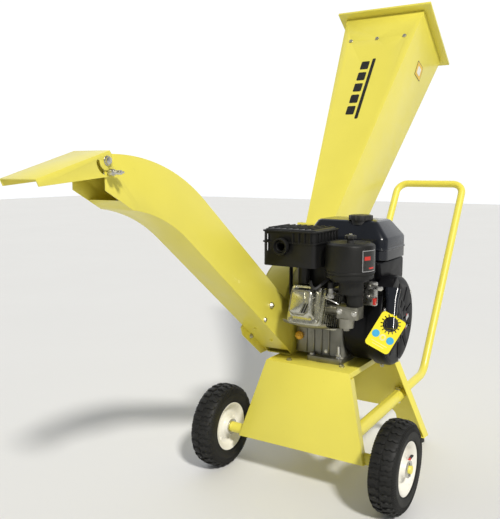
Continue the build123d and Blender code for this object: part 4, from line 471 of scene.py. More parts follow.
# ---------------------------------------------------------------- repeats
def repeat_tree():
    """Geometry Nodes tree: copies a shape, stepping and turning it each time, then places the whole set."""
    tree = bpy.data.node_groups.new("Repeat", "GeometryNodeTree")
    face = tree.interface
    face.new_socket("Shape", in_out="INPUT", socket_type="NodeSocketGeometry")
    for name, kind in (("Count", "NodeSocketInt"), ("Step", "NodeSocketVector"), ("Turn", "NodeSocketVector"),
                       ("Place", "NodeSocketVector"), ("Finish", "NodeSocketMaterial")):
        face.new_socket(name, in_out="INPUT", socket_type=kind)
    face.new_socket("Shape", in_out="OUTPUT", socket_type="NodeSocketGeometry")
    nodes, links = tree.nodes, tree.links
    inputs = nodes.new("NodeGroupInput")
    outputs = nodes.new("NodeGroupOutput")
    line = nodes.new("GeometryNodeMeshLine")
    index = nodes.new("GeometryNodeInputIndex")
    spin = nodes.new("ShaderNodeVectorMath")
    spin.operation = "SCALE"
    copies = nodes.new("GeometryNodeInstanceOnPoints")
    real = nodes.new("GeometryNodeRealizeInstances")
    shift = nodes.new("GeometryNodeTransform")
    paint = nodes.new("GeometryNodeSetMaterial")
    links.new(inputs.outputs["Count"], line.inputs["Count"])
    links.new(inputs.outputs["Step"], line.inputs["Offset"])
    links.new(inputs.outputs["Turn"], spin.inputs[0])
    links.new(index.outputs[0], spin.inputs["Scale"])
    links.new(line.outputs[0], copies.inputs["Points"])
    links.new(inputs.outputs[0], copies.inputs["Instance"])
    links.new(spin.outputs[0], copies.inputs["Rotation"])
    links.new(copies.outputs[0], real.inputs[0])
    links.new(real.outputs[0], shift.inputs["Geometry"])
    links.new(inputs.outputs["Place"], shift.inputs["Translation"])
    links.new(shift.outputs[0], paint.inputs["Geometry"])
    links.new(inputs.outputs["Finish"], paint.inputs["Material"])
    links.new(paint.outputs[0], outputs.inputs[0])
    return tree


def repeated(mesh, finish_name, count, step=(0, 0, 0), turn=(0, 0, 0), place=(0, 0, 0), angle=35.0):
    """Mesh of count copies; step and place in millimetres, turn in radians per copy."""
    tree = bpy.data.node_groups.get("Repeat") or repeat_tree()
    values = {"Count": count, "Step": Vector(step) * MM, "Turn": Vector(turn), "Place": Vector(place) * MM,
              "Finish": PAINT[finish_name]}

    def setup(obj):
        modifier = obj.modifiers.new("copies", "NODES")
        modifier.node_group = tree
        for item in tree.interface.items_tree:
            if item.in_out == "INPUT" and item.name in values:
                modifier[item.identifier] = values[item.name]
    result = evaluated(mesh, setup)
    shade(result, angle)
    return result


# ---------------------------------------------------------------- settings
class ChipperSettings(bpy.types.PropertyGroup):
    """Sizes and colours of the finished machine."""
    body_colour: FloatVectorProperty(name="Body colour", description="Powder coat on the sheet metal",
                                     subtype="COLOR", size=3, min=0, max=1, default=(0.80, 0.71, 0.10))
    rim_colour: FloatVectorProperty(name="Rim colour", description="Enamel on the wheel rims", subtype="COLOR",
                                    size=3, min=0, max=1, default=(0.80, 0.78, 0.70))
    tread_pitches: IntProperty(name="Tread pitches", description="Tread blocks round one tyre", min=12, max=60,
                               default=30)
    tread_depth: FloatProperty(name="Tread depth", description="Height of the tread blocks", unit="LENGTH",
                               min=0.001, max=0.008, default=0.004)
    shoulder_ribs: IntProperty(name="Shoulder ribs", description="Fine ribs round each tyre shoulder", min=20,
                               max=160, default=96)
    sheet_rounding: FloatProperty(name="Sheet rounding", description="Radius of the folded sheet edges",
                                  unit="LENGTH", min=0.0001, max=0.005, default=0.0012)


def settings():
    return bpy.context.scene.chipper


# ---------------------------------------------------------------- pieces
SHEET_NODES = ("front_panel", "engine_deck", "rear_panel", "discharge_chute", "deflector", "hopper", "hopper_rim",
               "infeed_throat", "housing_right_plate", "housing_left_plate", "housing_wrap", "chute_bracket")
TUBE_NODES = ("handle", "handle_sleeves", "axle")
ZINC_NODES = ("axle_washers", "axle_pins", "handle_bolts", "pivot_bolts", "clamp_bolts", "left_wing_nut",
              "right_wing_nut", "panel_bolts")
DOWN = Vector((0, -0.578997, -0.81533))
INWARD = Vector((0, 0.81533, -0.578997))


class Step:
    """What every build step shares"""
    def execute(self, context):
        self.build()
        return {"FINISHED"}


class CHIPPER_OT_sheet(Step, bpy.types.Operator):
    """Folded sheet panels, hopper, throat, chute and deflector in their powder coat"""
    bl_idname = "chipper.sheet"
    bl_label = "Sheet metal"

    def build(self):
        width = settings().sheet_rounding / MM
        for node in SHEET_NODES:
            refined(node, "yellow", width, 2)
        for node in TUBE_NODES:
            refined(node, "yellow", 0.4, 1)


class CHIPPER_OT_welds(Step, bpy.types.Operator):
    """Row of weld beads on the engine deck's left edge"""
    bl_idname = "chipper.welds"
    bl_label = "Weld beads"

    def build(self):
        mesh = solid("bead", (lathe, [(0, 0), (0.4, 1.0), (1.6, 1.5), (2.8, 1.0), (3.2, 0)], (0, 0, 0), (0, 1, 0),
                              10, False))
        start = Vector((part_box("engine_deck")[0].x / MM + 2, AXLE.y + 26, DECK_TOP + 0.2))
        mesh = repeated(mesh, "yellow", BEAD_COUNT, (0, BEAD_PITCH, 0), (0, 0, 0), start)
        piece("deck_weld", mesh, "yellow", "chassis")


class CHIPPER_OT_decals(Step, bpy.types.Operator):
    """Plain stripes on the hopper's front and a plain amber diamond on its side"""
    bl_idname = "chipper.decals"
    bl_label = "Decals"

    def build(self):
        top = front_edge()
        across = Vector((1, 0, 0))
        up = -DOWN
        film = bmesh.new()
        for along, width, length, side in ((322, 11, 250, 13), (224, 28, 34, -14), (271, 28, 34, -14),
                                           (318, 28, 34, -14),
                                           (365, 28, 34, -14), (412, 28, 34, -14)):
            centre = top + DOWN * along + across * side - INWARD * 0.15
            plate(film, rounded(width, length, 4), centre, across, up, 0.5)
        outward(film)
        piece("hopper_stripes", mesh_of("hopper_stripes", film), "black ink", "chassis")
        place, right, slope_up = side_frame(152.0, 122.0)
        for name, paint, size, lift in (("diamond_border", "black ink", 66, 0.2), ("diamond_face", "amber", 60, 0.6),
                                        ("diamond_mark", "white", 34, 0.9)):
            mesh = solid(name, (plate, rounded(size * 0.78, size * 0.78, 4, turn=math.radians(12)), place, right,
                                slope_up, lift))
            piece(name, mesh, paint, "chassis")


def front_edge():
    """Top of the hopper's front wall, in the middle, in millimetres."""
    low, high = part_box("hopper")
    return Vector(((low.x + high.x) / 2 / MM, high.y / MM - MOUTH_DEPTH * INWARD.y, high.z / MM))


def side_frame(along, inward_by):
    """Point just off the hopper's right wall, with the wall's own right and up directions."""
    half = MOUTH_HALF - (MOUTH_HALF - NECK_HALF) * along / WALL_LENGTH
    point = front_edge() + DOWN * along + INWARD * inward_by + Vector((half, 0, 0))
    wall_down = (DOWN * WALL_LENGTH + Vector((NECK_HALF - MOUTH_HALF, 0, 0))).normalized()
    right = INWARD
    normal = right.cross(-wall_down).normalized()
    return point + normal * 0.2, right, -wall_down


class CHIPPER_OT_fasteners(Step, bpy.types.Operator):
    """Plated bolts, washers, pins and wing nuts"""
    bl_idname = "chipper.fasteners"
    bl_label = "Fasteners"

    def build(self):
        for node in ZINC_NODES:
            refined(node, "zinc", 0.35, 2)
        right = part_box("discharge_chute")[1].x / MM
        spots = (
            ((right, AXLE.y - 28.5, 471.5), (1, 0, 0), 7.0, 3.0),
            ((right, AXLE.y - 58.0, 440.0), (1, 0, 0), 5.0, 0.0),
            ((-65, AXLE.y + 44, DECK_TOP), (0, 0, 1), 6.5, 0.0),
            ((79, AXLE.y + 61, DECK_TOP), (0, 0, 1), 6.5, 0.0),
            ((-162.2, AXLE.y + 9.4, 372.7), (1, 0, 0), 6.0, 2.0),
            ((-162.2, AXLE.y + 95.2, 323.0), (1, 0, 0), 6.0, 2.0),
            ((74.6, AXLE.y + 354.7, 243.0), (0, -0.915, -0.405), 5.5, 1.5),
        )
        screws = solid("panel_screws", *[(hex_head, *spot[:3], True, spot[3]) for spot in spots])
        piece("panel_screws", screws, "zinc", "chassis")
        painted = ((-127.2, AXLE.y - 27.5, 406.3), (-110.6, AXLE.y + 26.2, 364.9))
        screws = solid("painted_screws", *[(hex_head, at, (0, -0.61, -0.792), 4.5) for at in painted])
        piece("painted_screws", screws, "yellow", "chassis")


class CHIPPER_OT_tyres(Step, bpy.types.Operator):
    """Pneumatic tyres with staggered tread blocks and fine shoulder ribs"""
    bl_idname = "chipper.tyres"
    bl_label = "Tyres"

    def build(self):
        for side in ("left", "right"):
            body = BODY_OF[side + "_tyre"]
            centre = middle(side + "_tyre")
            radius = (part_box(side + "_tyre")[1].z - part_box(side + "_tyre")[0].z) / 2 / MM
            depth = settings().tread_depth / MM
            base = radius - depth
            shell = bmesh.new()
            profile = [(-25, 56), (-26.5, 60), (-28.6, 64.5), (-31.4, 72), (-32.6, 80), (-TYRE_HALF_WIDTH, 88),
                       (-32.0, 95),
                       (-29.6, base - 7.5), (-25.5, base - 4.0), (-18, base - 1.4), (-9, base - 0.3), (0, base)]
            profile += [(-x, r) for x, r in reversed(profile[:-1])]
            lathe(shell, profile, centre, (1, 0, 0), 128)
            for x, crest in ((-30.2, 0.9), (30.2, 1.2)):
                lathe(shell, [(x - 1.0, 68.5), (x - crest, 70.5), (x + 1.0, 68.5)], centre, (1, 0, 0), 96)
            outward(shell)
            piece(side + "_tyre_shell", mesh_of("tyre_shell", shell, 30), "tyre", body, (side + "_tyre",))
            pitches = settings().tread_pitches
            pitch = 2 * math.pi / pitches
            for row in (-1, 1):
                lug = tread_lug(row, base, depth, pitch)
                mesh = repeated(softened(lug, 0.6, 2, 25), "tyre", pitches, (0, 0, 0), (pitch, 0, 0), centre,
                                angle=40.0)
                piece(f"{side}_tread_{'inner' if row < 0 else 'outer'}", mesh, "tyre", body)
            ribs = settings().shoulder_ribs
            rib = shoulder_rib(base)
            mesh = repeated(rib, "tyre", ribs, (0, 0, 0), (2 * math.pi / ribs, 0, 0), centre, angle=40.0)
            piece(side + "_shoulder_ribs", mesh, "tyre", body)


def polar(x, radius, angle):
    """Point round the wheel's line; angle 0 is straight up."""
    return Vector((x, radius * math.sin(angle), radius * math.cos(angle))) * MM


def tread_lug(row, base, depth, pitch):
    """One wavy tread block at the top of the tyre, centred on the origin's line along X."""
    bm = bmesh.new()
    outline = [(1.2, -0.30), (7, -0.42), (13, -0.25), (20, -0.40), (26.5, -0.27), (27.5, 0.20), (20, 0.10),
               (13.5, 0.28), (7, 0.10), (1.2, 0.22)]
    shift = 0.25 * row
    bottoms, tops = [], []
    for x, share in outline:
        angle = (share + shift) * pitch
        crown = base - (x / 27.5) ** 3 * 4.6
        bottoms.append(bm.verts.new(polar(row * x, crown - 1.2, angle)))
        middle_x = 14.0
        inner_x = middle_x + (x - middle_x) * 0.93
        tops.append(bm.verts.new(polar(row * inner_x, crown + depth * 0.96, (share * 0.88 + shift) * pitch)))
    stacked(bm, [bottoms, tops])
    outward(bm)
    return mesh_of("lug", bm, 20)


def shoulder_rib(base):
    """Fine raised bar over both shoulders at the top of the tyre."""
    bm = bmesh.new()
    for side in (-1, 1):
        line = [(28.6, base - 4.0), (31.4, base - 8.0), (33.2, 93.0), (33.7, 88.0)]
        low = [(27.6, base - 7.0), (29.4, base - 9.5), (31.4, 92.0), (32.2, 87.0)]
        rows = []
        for width, path in ((0.012, low), (0.008, line)):
            rows.append([[bm.verts.new(polar(side * x, r, s * width)) for x, r in path] for s in (-1, 1)])
        bottom, top = rows
        for k in range(len(line) - 1):
            bm.faces.new([top[0][k], top[0][k + 1], top[1][k + 1], top[1][k]])
            bm.faces.new([bottom[0][k], bottom[0][k + 1], top[0][k + 1], top[0][k]])
            bm.faces.new([bottom[1][k], bottom[1][k + 1], top[1][k + 1], top[1][k]])
            bm.faces.new([bottom[0][k], bottom[0][k + 1], bottom[1][k + 1], bottom[1][k]])
        for k in (0, -1):
            bm.faces.new([bottom[0][k], top[0][k], top[1][k], bottom[1][k]])
    outward(bm)
    return mesh_of("rib", bm, 30)


class CHIPPER_OT_rims(Step, bpy.types.Operator):
    """Pressed cream rims with rolled edges, embossed rings, hubs, bushes and valves"""
    bl_idname = "chipper.rims"
    bl_label = "Rims and valves"

    def build(self):
        for side in ("left", "right"):
            body = BODY_OF[side + "_rim"]
            centre = middle(side + "_rim")
            face = [(30.3, 15.1), (30.4, 19.6), (29.8, 20.4), (22, 21.0), (17.5, 24.5), (15.6, 29), (15.0, 33),
                    (12.8, 35), (12.4, 42), (13.6, 45.5), (16.5, 48.5), (20.5, 51.5), (24.5, 54.2), (27.4, 58.2),
                    (28.9, 61.8), (29.9, 63.4), (29.6, 64.9), (28.2, 65.0), (27.2, 62.8), (25.9, 58.6), (24.8, 56.6)]
            profile = face + [(-x, r) for x, r in reversed(face)]
            mesh = solid("rim", (lathe, profile, centre, (1, 0, 0), 128), angle=50.0)
            mesh = mesh
            piece(side + "_rim_pressing", mesh, "white", body, (side + "_rim",))
            for end in (-1, 1):
                mesh = solid("boss", (lathe, [(0, 0), (0, 5.4), (1.4, 4.6), (1.9, 2.6), (1.9, 0)],
                                      (end * 12.2, 0, 38.6), (end, 0, 0), 24, False))
                mesh = repeated(mesh, "white", 5, (0, 0, 0), (2 * math.pi / 5, 0, 0), centre, angle=50.0)
                piece(f"{side}_rim_bosses_{'in' if end < 0 else 'out'}", mesh, "white", body)
            refined(side + "_hub_bush", "nylon", 0.3)
            valve = middle(side + "_valve")
            out = Vector((0, valve.y - AXLE.y, valve.z - AXLE.z)).normalized()
            foot = Vector((valve.x, AXLE.y, AXLE.z))
            mesh = solid("stem", (lathe, [(56, 0), (56, 4.1), (52, 4.1), (49, 3.4), (41, 3.1), (40.4, 0)], foot, out,
                                  24, False))
            piece(side + "_valve_stem", mesh, "rubber", body, (side + "_valve",))
            mesh = solid("tip", (lathe, [(40.8, 0), (40.8, 2.6), (36, 2.6), (35.6, 3.2), (30, 3.2), (29, 2.4),
                                         (29, 0)], foot, out, 24, False))
            piece(side + "_valve_cap", mesh, "red", body)


class CHIPPER_OT_rotor(Step, bpy.types.Operator):
    """Rotor, knives, anvil, crankshaft and flywheel"""
    bl_idname = "chipper.rotor"
    bl_label = "Rotor and crank"

    def build(self):
        for node in ("rotor", "rotor_knives", "anvil", "crankshaft"):
            refined(node, "steel", 0.4)
        refined("flywheel", "grey alloy", 0.5)


class CHIPPER_OT_rubber(Step, bpy.types.Operator):
    """Rubber feet and the feed curtain"""
    bl_idname = "chipper.rubber"
    bl_label = "Rubber pieces"

    def build(self):
        refined("rubber_feet", "rubber", 0.8)
        refined("feed_curtain", "rubber", 0.4)


class CHIPPER_OT_engine_block(Step, bpy.types.Operator):
    """Crankcase, cylinder, valve cover, oil plug and their ribs and bolts"""
    bl_idname = "chipper.engine_block"
    bl_label = "Engine block"

    def build(self):
        refined("crankcase", "grey alloy", 1.6, 3)
        refined("cylinder", "alloy", 0.5, 1)
        mesh = solid("rib", (block, (-40, ENGINE_FRONT - 4, DECK_TOP + 16), (-36.5, ENGINE_FRONT + 1, 440)))
        mesh = repeated(softened(mesh, 1.2), "grey alloy", 4, (22, 0, 0))
        piece("crankcase_ribs", mesh, "grey alloy", "chassis")
        spots = ((20, 338), (52, 332), (-20, 470), (64, 470))
        bolts = [(hex_head, (x, ENGINE_FRONT, z), (0, -1, 0), 5.0) for x, z in spots]
        stud = (59.75, AXLE.y + 81, DECK_TOP + 14.5 + 5.0)
        bolts.append((hex_head, stud, (0, 0, 1), 6.5, False, 22.0))
        piece("crankcase_bolts", solid("crankcase_bolts", *bolts), "zinc", "chassis")
        self.skirt()
        self.valve_cover()
        self.oil_plug()

    def skirt(self):
        """Curved air-guide sheet under the cylinder"""
        bm = bmesh.new()
        rows = []
        section = ((-20, 438), (-14, 430), (10, 422), (50, 414), (90, 408))
        for lift in (0.0, 2.2):
            grid = []
            for step in range(13):
                x = -50 + step * 10
                sag = -10 * (1 - ((x - 10) / 60) ** 2) * 0.6
                grid.append([bm.verts.new(Vector((x, AXLE.y + y, z + sag + lift)) * MM) for y, z in section])
            rows.append(grid)
        for layer in rows:
            for a in range(12):
                for b in range(len(section) - 1):
                    bm.faces.new([layer[a][b], layer[a + 1][b], layer[a + 1][b + 1], layer[a][b + 1]])
        border = [(a, 0) for a in range(13)] + [(12, b) for b in range(1, len(section))]
        border += [(a, len(section) - 1) for a in range(11, -1, -1)]
        border += [(0, b) for b in range(len(section) - 2, 0, -1)]
        for (a, b), (c, d) in zip(border, border[1:] + border[:1]):
            bm.faces.new([rows[0][a][b], rows[0][c][d], rows[1][c][d], rows[1][a][b]])
        outward(bm)
        mesh = softened(mesh_of("skirt", bm, 40), 0.6)
        piece("air_skirt", mesh, "dull alloy", "chassis")
        mesh = solid("duct", (plate, [(-34, 516), (58, 516), (58, 584), (-22, 584), (-34, 572)], (0, AXLE.y + 29, 0),
                              (1, 0, 0), (0, 0, 1), -58))
        piece("cylinder_duct", softened(mesh, 5.0, 4), "satin black", "chassis")

    def valve_cover(self):
        """Cast cover with a raised panel, slanting ribs and corner bolts"""
        tilt = math.radians(18)
        normal = Vector((0, -math.cos(tilt), math.sin(tilt)))
        up = Vector((0, math.sin(tilt), math.cos(tilt)))
        right = Vector((1, 0, 0))
        base = Vector((12, ENGINE_FRONT, CRANK.z + 22)) + normal * 112.6
        mesh = solid("flange", (plate, rounded(80, 92, 9), base, right, up, 5.5))
        flange = softened(mesh, 1.4, 3)
        piece("valve_cover_flange", flange, "alloy", "chassis", ("valve_cover",))
        dome = bmesh.new()
        layers = ((4.5, 68, 80, 13), (12, 67, 79, 13), (25, 61, 72, 13), (31, 55, 65, 12), (33.5, 46, 56, 10))
        rings = []
        for lift, width, height, radius in layers:
            shift = up * (lift * 0.06)
            rings.append([dome.verts.new((base + normal * lift + shift + right * x + up * y) * MM)
                          for x, y in rounded(width, height, radius, 6)])
        stacked(dome, rings)
        outward(dome)
        piece("valve_cover_dome", softened(mesh_of("dome", dome, 30), 0.8, 2, 30), "alloy", "chassis")
        top = base + normal * 33.2
        mesh = solid("panel", (plate, [(-20, -24), (4, -24), (14, 2), (10, 27), (-20, 27), (-23, 22), (-23, -19)],
                               top, right, up, 2.4))
        piece("valve_cover_panel", softened(mesh, 0.9, 2), "alloy", "chassis")
        mesh = solid("slash", (plate, [(0, 0), (3.2, 0), (10.5, 24), (7.3, 24)], top + right * 8 + up * -24, right,
                               up, 2.0))
        mesh = repeated(softened(mesh, 0.6), "satin black", 2, right * 6.5)
        piece("valve_cover_slashes", mesh, "satin black", "chassis")
        edge = bmesh.new()
        outer = [(-27, -22), (-14, -31), (16, -31), (27, -20), (23, 26), (18, 31), (-22, 31), (-27, 26)]
        plate(edge, outer, base + normal * 32.6, right, up, 2.2, [[(x * 0.9, y * 0.9) for x, y in outer]])
        outward(edge)
        piece("valve_cover_edge", softened(mesh_of("edge", edge), 0.7), "dull alloy", "chassis")
        mesh = solid("louvre", (plate, rounded(11, 3.0, 1.4, 4, turn=math.radians(24)),
                                base + normal * 18 + right * -31.2 + up * -16, normal, up, -3.0))
        mesh = repeated(softened(mesh, 0.5), "satin black", 4, up * 10)
        piece("valve_cover_louvres", mesh, "satin black", "chassis")
        corners = [base + normal * 5.5 + right * x + up * y for x in (-34, 34) for y in (-40, 40)]
        bolts = solid("cover_bolts", *[(hex_head, corner, normal, 4.6) for corner in corners])
        piece("valve_cover_bolts", bolts, "zinc", "chassis")

    def oil_plug(self):
        """Knurled filler plug"""
        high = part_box("oil_plug")[1]
        centre = middle("oil_plug")
        bm = bmesh.new()
        outline = wheel_outline(96, lambda step, angle: 10.4 + 1.0 * math.cos(angle * 12))
        plate(bm, outline, (centre.x, high.y / MM, centre.z), (1, 0, 0), (0, 0, 1), 9.0)
        lathe(bm, [(8.8, 0), (8.8, 8.6), (11.5, 8.0), (13.0, 6.4), (13.4, 3.0), (13.4, 0)],
              (centre.x, high.y / MM, centre.z), (0, -1, 0), 48, False)
        plate(bm, rounded(16, 3.4, 1.6), (centre.x, high.y / MM - 12.6, centre.z), (1, 0, 0), (0, 0, 1), 3.0)
        outward(bm)
        mesh = softened(mesh_of("plug", bm), 0.4)
        piece("oil_plug_cap", mesh, "plug", BODY_OF["oil_plug"], ("oil_plug",))


class CHIPPER_OT_breathing(Step, bpy.types.Operator):
    """Air cleaner, carburettor, muffler and guard"""
    bl_idname = "chipper.breathing"
    bl_label = "Air cleaner, carburettor and muffler"

    def build(self):
        self.cleaner()
        refined("carburettor", "dull alloy", 1.0)
        refined("muffler", "satin black", 1.2, 3)
        refined("muffler_guard", "satin black", 1.0, 2)
        self.guard_ribs()
        low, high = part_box("carburettor")
        spots = ((high.x / MM - 46, high.z / MM - 12), (high.x / MM - 8, high.z / MM - 14))
        screws = solid("carb_screws", *[(hex_head, (x, low.y / MM + 5, z), (0, -1, 0), 6.0, True, 2.0)
                                        for x, z in spots])
        piece("carburettor_screws", screws, "zinc", "chassis")

    def cleaner(self):
        centre = middle("air_cleaner_cover")
        low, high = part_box("air_cleaner_cover")
        bottom, top = low.z / MM, high.z / MM
        mesh = solid("canister", (lathe, [(0, 0), (0, 57.5), (3, 59.6), (6, 59.9), (7.5, 58.8), (9, 59.6),
                                          (12, 59.7), (top - bottom - 9, 59.0), (top - bottom - 5, 57.4),
                                          (top - bottom - 1.2, 51.5), (top - bottom, 49.5), (top - bottom - 0.4, 30),
                                          (top - bottom - 3, 24), (top - bottom - 3, 0)],
                                          (centre.x, centre.y, bottom), (0, 0, 1), 128, False), angle=28.0)
        piece("air_cleaner_canister", mesh, "texture black",
              BODY_OF["air_cleaner_cover"], ("air_cleaner_cover",))
        refined("air_cleaner_base", "texture black", 2.0, 3)
        knob = bmesh.new()
        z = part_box("air_cleaner_knob")[0].z / MM
        lathe(knob, [(-3, 0), (-3, 9), (6, 8), (8, 12.5), (10, 13.4), (14.5, 13.4), (16, 12), (16.6, 6), (14, 5),
                     (14, 0)], (centre.x, centre.y, z), (0, 0, 1), 48, False)
        for k in range(8):
            turn = 2 * math.pi * k / 8
            lathe(knob, [(8.5, 0), (8.5, 2.6), (15, 2.6), (15.6, 0)],
                  (centre.x + 12.4 * math.cos(turn), centre.y + 12.4 * math.sin(turn), z), (0, 0, 1), 12, False)
        outward(knob)
        piece("air_cleaner_knob_cap", mesh_of("knob", knob), "nylon", BODY_OF["air_cleaner_knob"],
              ("air_cleaner_knob",))
        mesh = solid("stud", (lathe, [(12, 0), (12, 4.4), (19, 4.4), (20, 3.4), (20, 0)], (centre.x, centre.y, z),
                              (0, 0, 1), 6, False))
        piece("air_cleaner_stud", mesh, "zinc", "chassis")
        self.label(centre, bottom)

    def label(self, centre, bottom):
        """Plain curved plate on the canister with two plain bars"""
        def curved(name, start, end, low, high, inner, outer, paint):
            bm = bmesh.new()
            rows = []
            steps = 16
            for radius in (inner, outer):
                grid = []
                for step in range(steps + 1):
                    angle = math.radians(start + (end - start) * step / steps)
                    grid.append([bm.verts.new(Vector((centre.x + radius * math.cos(angle),
                                                      centre.y + radius * math.sin(angle), z)) * MM)
                                 for z in (low, high)])
                rows.append(grid)
            for grid in rows:
                for a in range(steps):
                    bm.faces.new([grid[a][0], grid[a + 1][0], grid[a + 1][1], grid[a][1]])
            for a in range(steps):
                for b in (0, 1):
                    bm.faces.new([rows[0][a][b], rows[0][a + 1][b], rows[1][a + 1][b], rows[1][a][b]])
            for a in (0, steps):
                bm.faces.new([rows[0][a][0], rows[0][a][1], rows[1][a][1], rows[1][a][0]])
            outward(bm)
            piece(name, mesh_of(name, bm), paint, "chassis")
        curved("cleaner_plate_edge", -38, 6, bottom + 10, bottom + 60, 58.6, 60.2, "silver ink")
        curved("cleaner_plate", -36.5, 4.5, bottom + 11.5, bottom + 58.5, 58.8, 60.5, "black ink")
        curved("cleaner_bar_upper", -33, -16, bottom + 37, bottom + 46, 59.0, 60.8, "red")
        curved("cleaner_bar_lower", -20, -3, bottom + 16, bottom + 20, 59.0, 60.8, "red")

    def guard_ribs(self):
        """Raised ribs across the muffler guard"""
        low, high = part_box("muffler_guard")
        rib = bmesh.new()
        top = high.z / MM
        block(rib, (-84, low.y / MM + 12, top - 2), (-81, high.y / MM - 12, top + 2.4))
        outward(rib)
        mesh = repeated(softened(mesh_of("guard_rib", rib), 1.0), "satin black", 8, (17, 0, 0))
        piece("guard_ribs", mesh, "satin black", "chassis")
        left, right_side, front, back = -93.0, 53.0, AXLE.y - 47.0, AXLE.y + 84.0
        centre = ((left + right_side) / 2, (front + back) / 2)
        for name, z, reach in (("guard_rim_upper", 661.0, 3.0), ("guard_rim_lower", 634.0, 3.0)):
            rim = bmesh.new()
            outer = rounded(right_side - left + 2 * reach, back - front + 2 * reach, 14, 8, centre)
            inner = rounded(right_side - left - 1, back - front - 1, 12, 8, centre)
            plate(rim, outer, (0, 0, z), (1, 0, 0), (0, 1, 0), 4.0, [inner])
            outward(rim)
            piece(name, softened(mesh_of(name, rim), 1.0), "satin black", "chassis")
        for name, start, step, count in (("guard_bars_front", Vector((-8, front - 2.6, 649)), (16, 0, 0), 4),
                                         ("guard_bars_side", Vector((right_side + 0.4, front + 18, 649)),
                                          (0, 17, 0), 7)):
            mesh = solid("bar", (block, (-1.6, -1.6, -14), (2.4, 2.4, 12.5)))
            mesh = repeated(softened(mesh, 0.7), "satin black", count, step, (0, 0, 0), start)
            piece(name, mesh, "satin black", "chassis")
        ring = bmesh.new()
        outlet = Vector((-35, AXLE.y - 54, 627))
        lathe(ring, [(0, 14.2), (0, 20.5), (10, 20.5), (12, 19.4), (12, 16.6), (9, 15.4), (0, 14.4)], outlet,
              (0, -1, 0), 48)
        outward(ring)
        piece("outlet_ring", mesh_of("outlet_ring", ring), "satin black", "chassis")


class CHIPPER_OT_tank(Step, bpy.types.Operator):
    """Fuel tank and its ribbed cap"""
    bl_idname = "chipper.tank"
    bl_label = "Fuel tank"

    def build(self):
        self.shell()
        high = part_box("fuel_cap")[1]
        centre = middle("fuel_cap")
        cap = bmesh.new()
        outline = wheel_outline(120, lambda step, angle: 30.0 + 1.0 * (1 if (step // 5) % 2 else -1))
        base = high.z / MM - 13
        plate(cap, outline, (centre.x, centre.y, base), (1, 0, 0), (0, 1, 0), 11.5)
        lathe(cap, [(11.0, 0), (11.0, 28.4), (12.4, 27.2), (13, 24), (13, 10), (12.2, 8), (12.2, 0)],
              (centre.x, centre.y, base), (0, 0, 1), 64, False)
        outward(cap)
        mesh = softened(mesh_of("cap", cap), 0.6)
        piece("fuel_cap_top", mesh, "nylon", BODY_OF["fuel_cap"], ("fuel_cap",))
        mesh = solid("neck", (lathe, [(-12, 0), (-12, 25), (0.5, 25), (0.5, 0)], (centre.x, centre.y, base),
                              (0, 0, 1), 64, False))
        piece("filler_neck", mesh, "nylon", "chassis")

    def shell(self):
        """Pressed tank with sloping shoulders and a rolled seam, over the fan housing's upper shroud"""
        low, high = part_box("fuel_tank")
        x0, x1, y0, y1 = low.x / MM + 2, high.x / MM - 2, low.y / MM + 2, high.y / MM - 2
        z0, z1 = low.z / MM, high.z / MM - 0.5
        centre = ((x0 + x1) / 2, (y0 + y1) / 2)
        wide, deep = x1 - x0, y1 - y0
        bm = bmesh.new()
        layers = ((0, 4, 0), (2, 0, 0), (26, 0, 0), (27.5, -1.8, 0), (30.5, -1.8, 0), (32, 0, 0),
                  (z1 - z0 - 46, 0, 0),
                  (z1 - z0 - 41, 1.5, 0), (z1 - z0 - 10, 19, 8), (z1 - z0 - 3, 23.5, 10), (z1 - z0, 29, 12))
        rings = []
        for lift, inset, extra in layers:
            outline = rounded(wide - 2 * inset - extra, deep - 2 * inset + extra * 0.2, max(8, 22 - inset * 0.3), 8,
                              (centre[0] - extra / 2, centre[1]))
            rings.append([bm.verts.new(Vector((x, y, z0 + lift)) * MM) for x, y in outline])
        stacked(bm, rings)
        outward(bm)
        piece("tank_shell", softened(mesh_of("tank", bm, 30), 1.5, 3, 20), "gloss black", "chassis",
              ("fuel_tank",))
        mesh = solid("shroud", (plate, [(y0 - 20, z0 - 1), (y1 - 1, z0 - 1), (y1 - 1, z0 - 50), (y1 - 7, z0 - 80),
                                        (y1 - 40, z0 - 86), (CRANK.y, z0 - 46), (y0 - 4, z0 - 50)], (79, 0, 0),
                                        (0, 1, 0), (0, 0, 1), 80))
        piece("fan_shroud", softened(mesh, 7.0, 5), "deep black", "chassis")


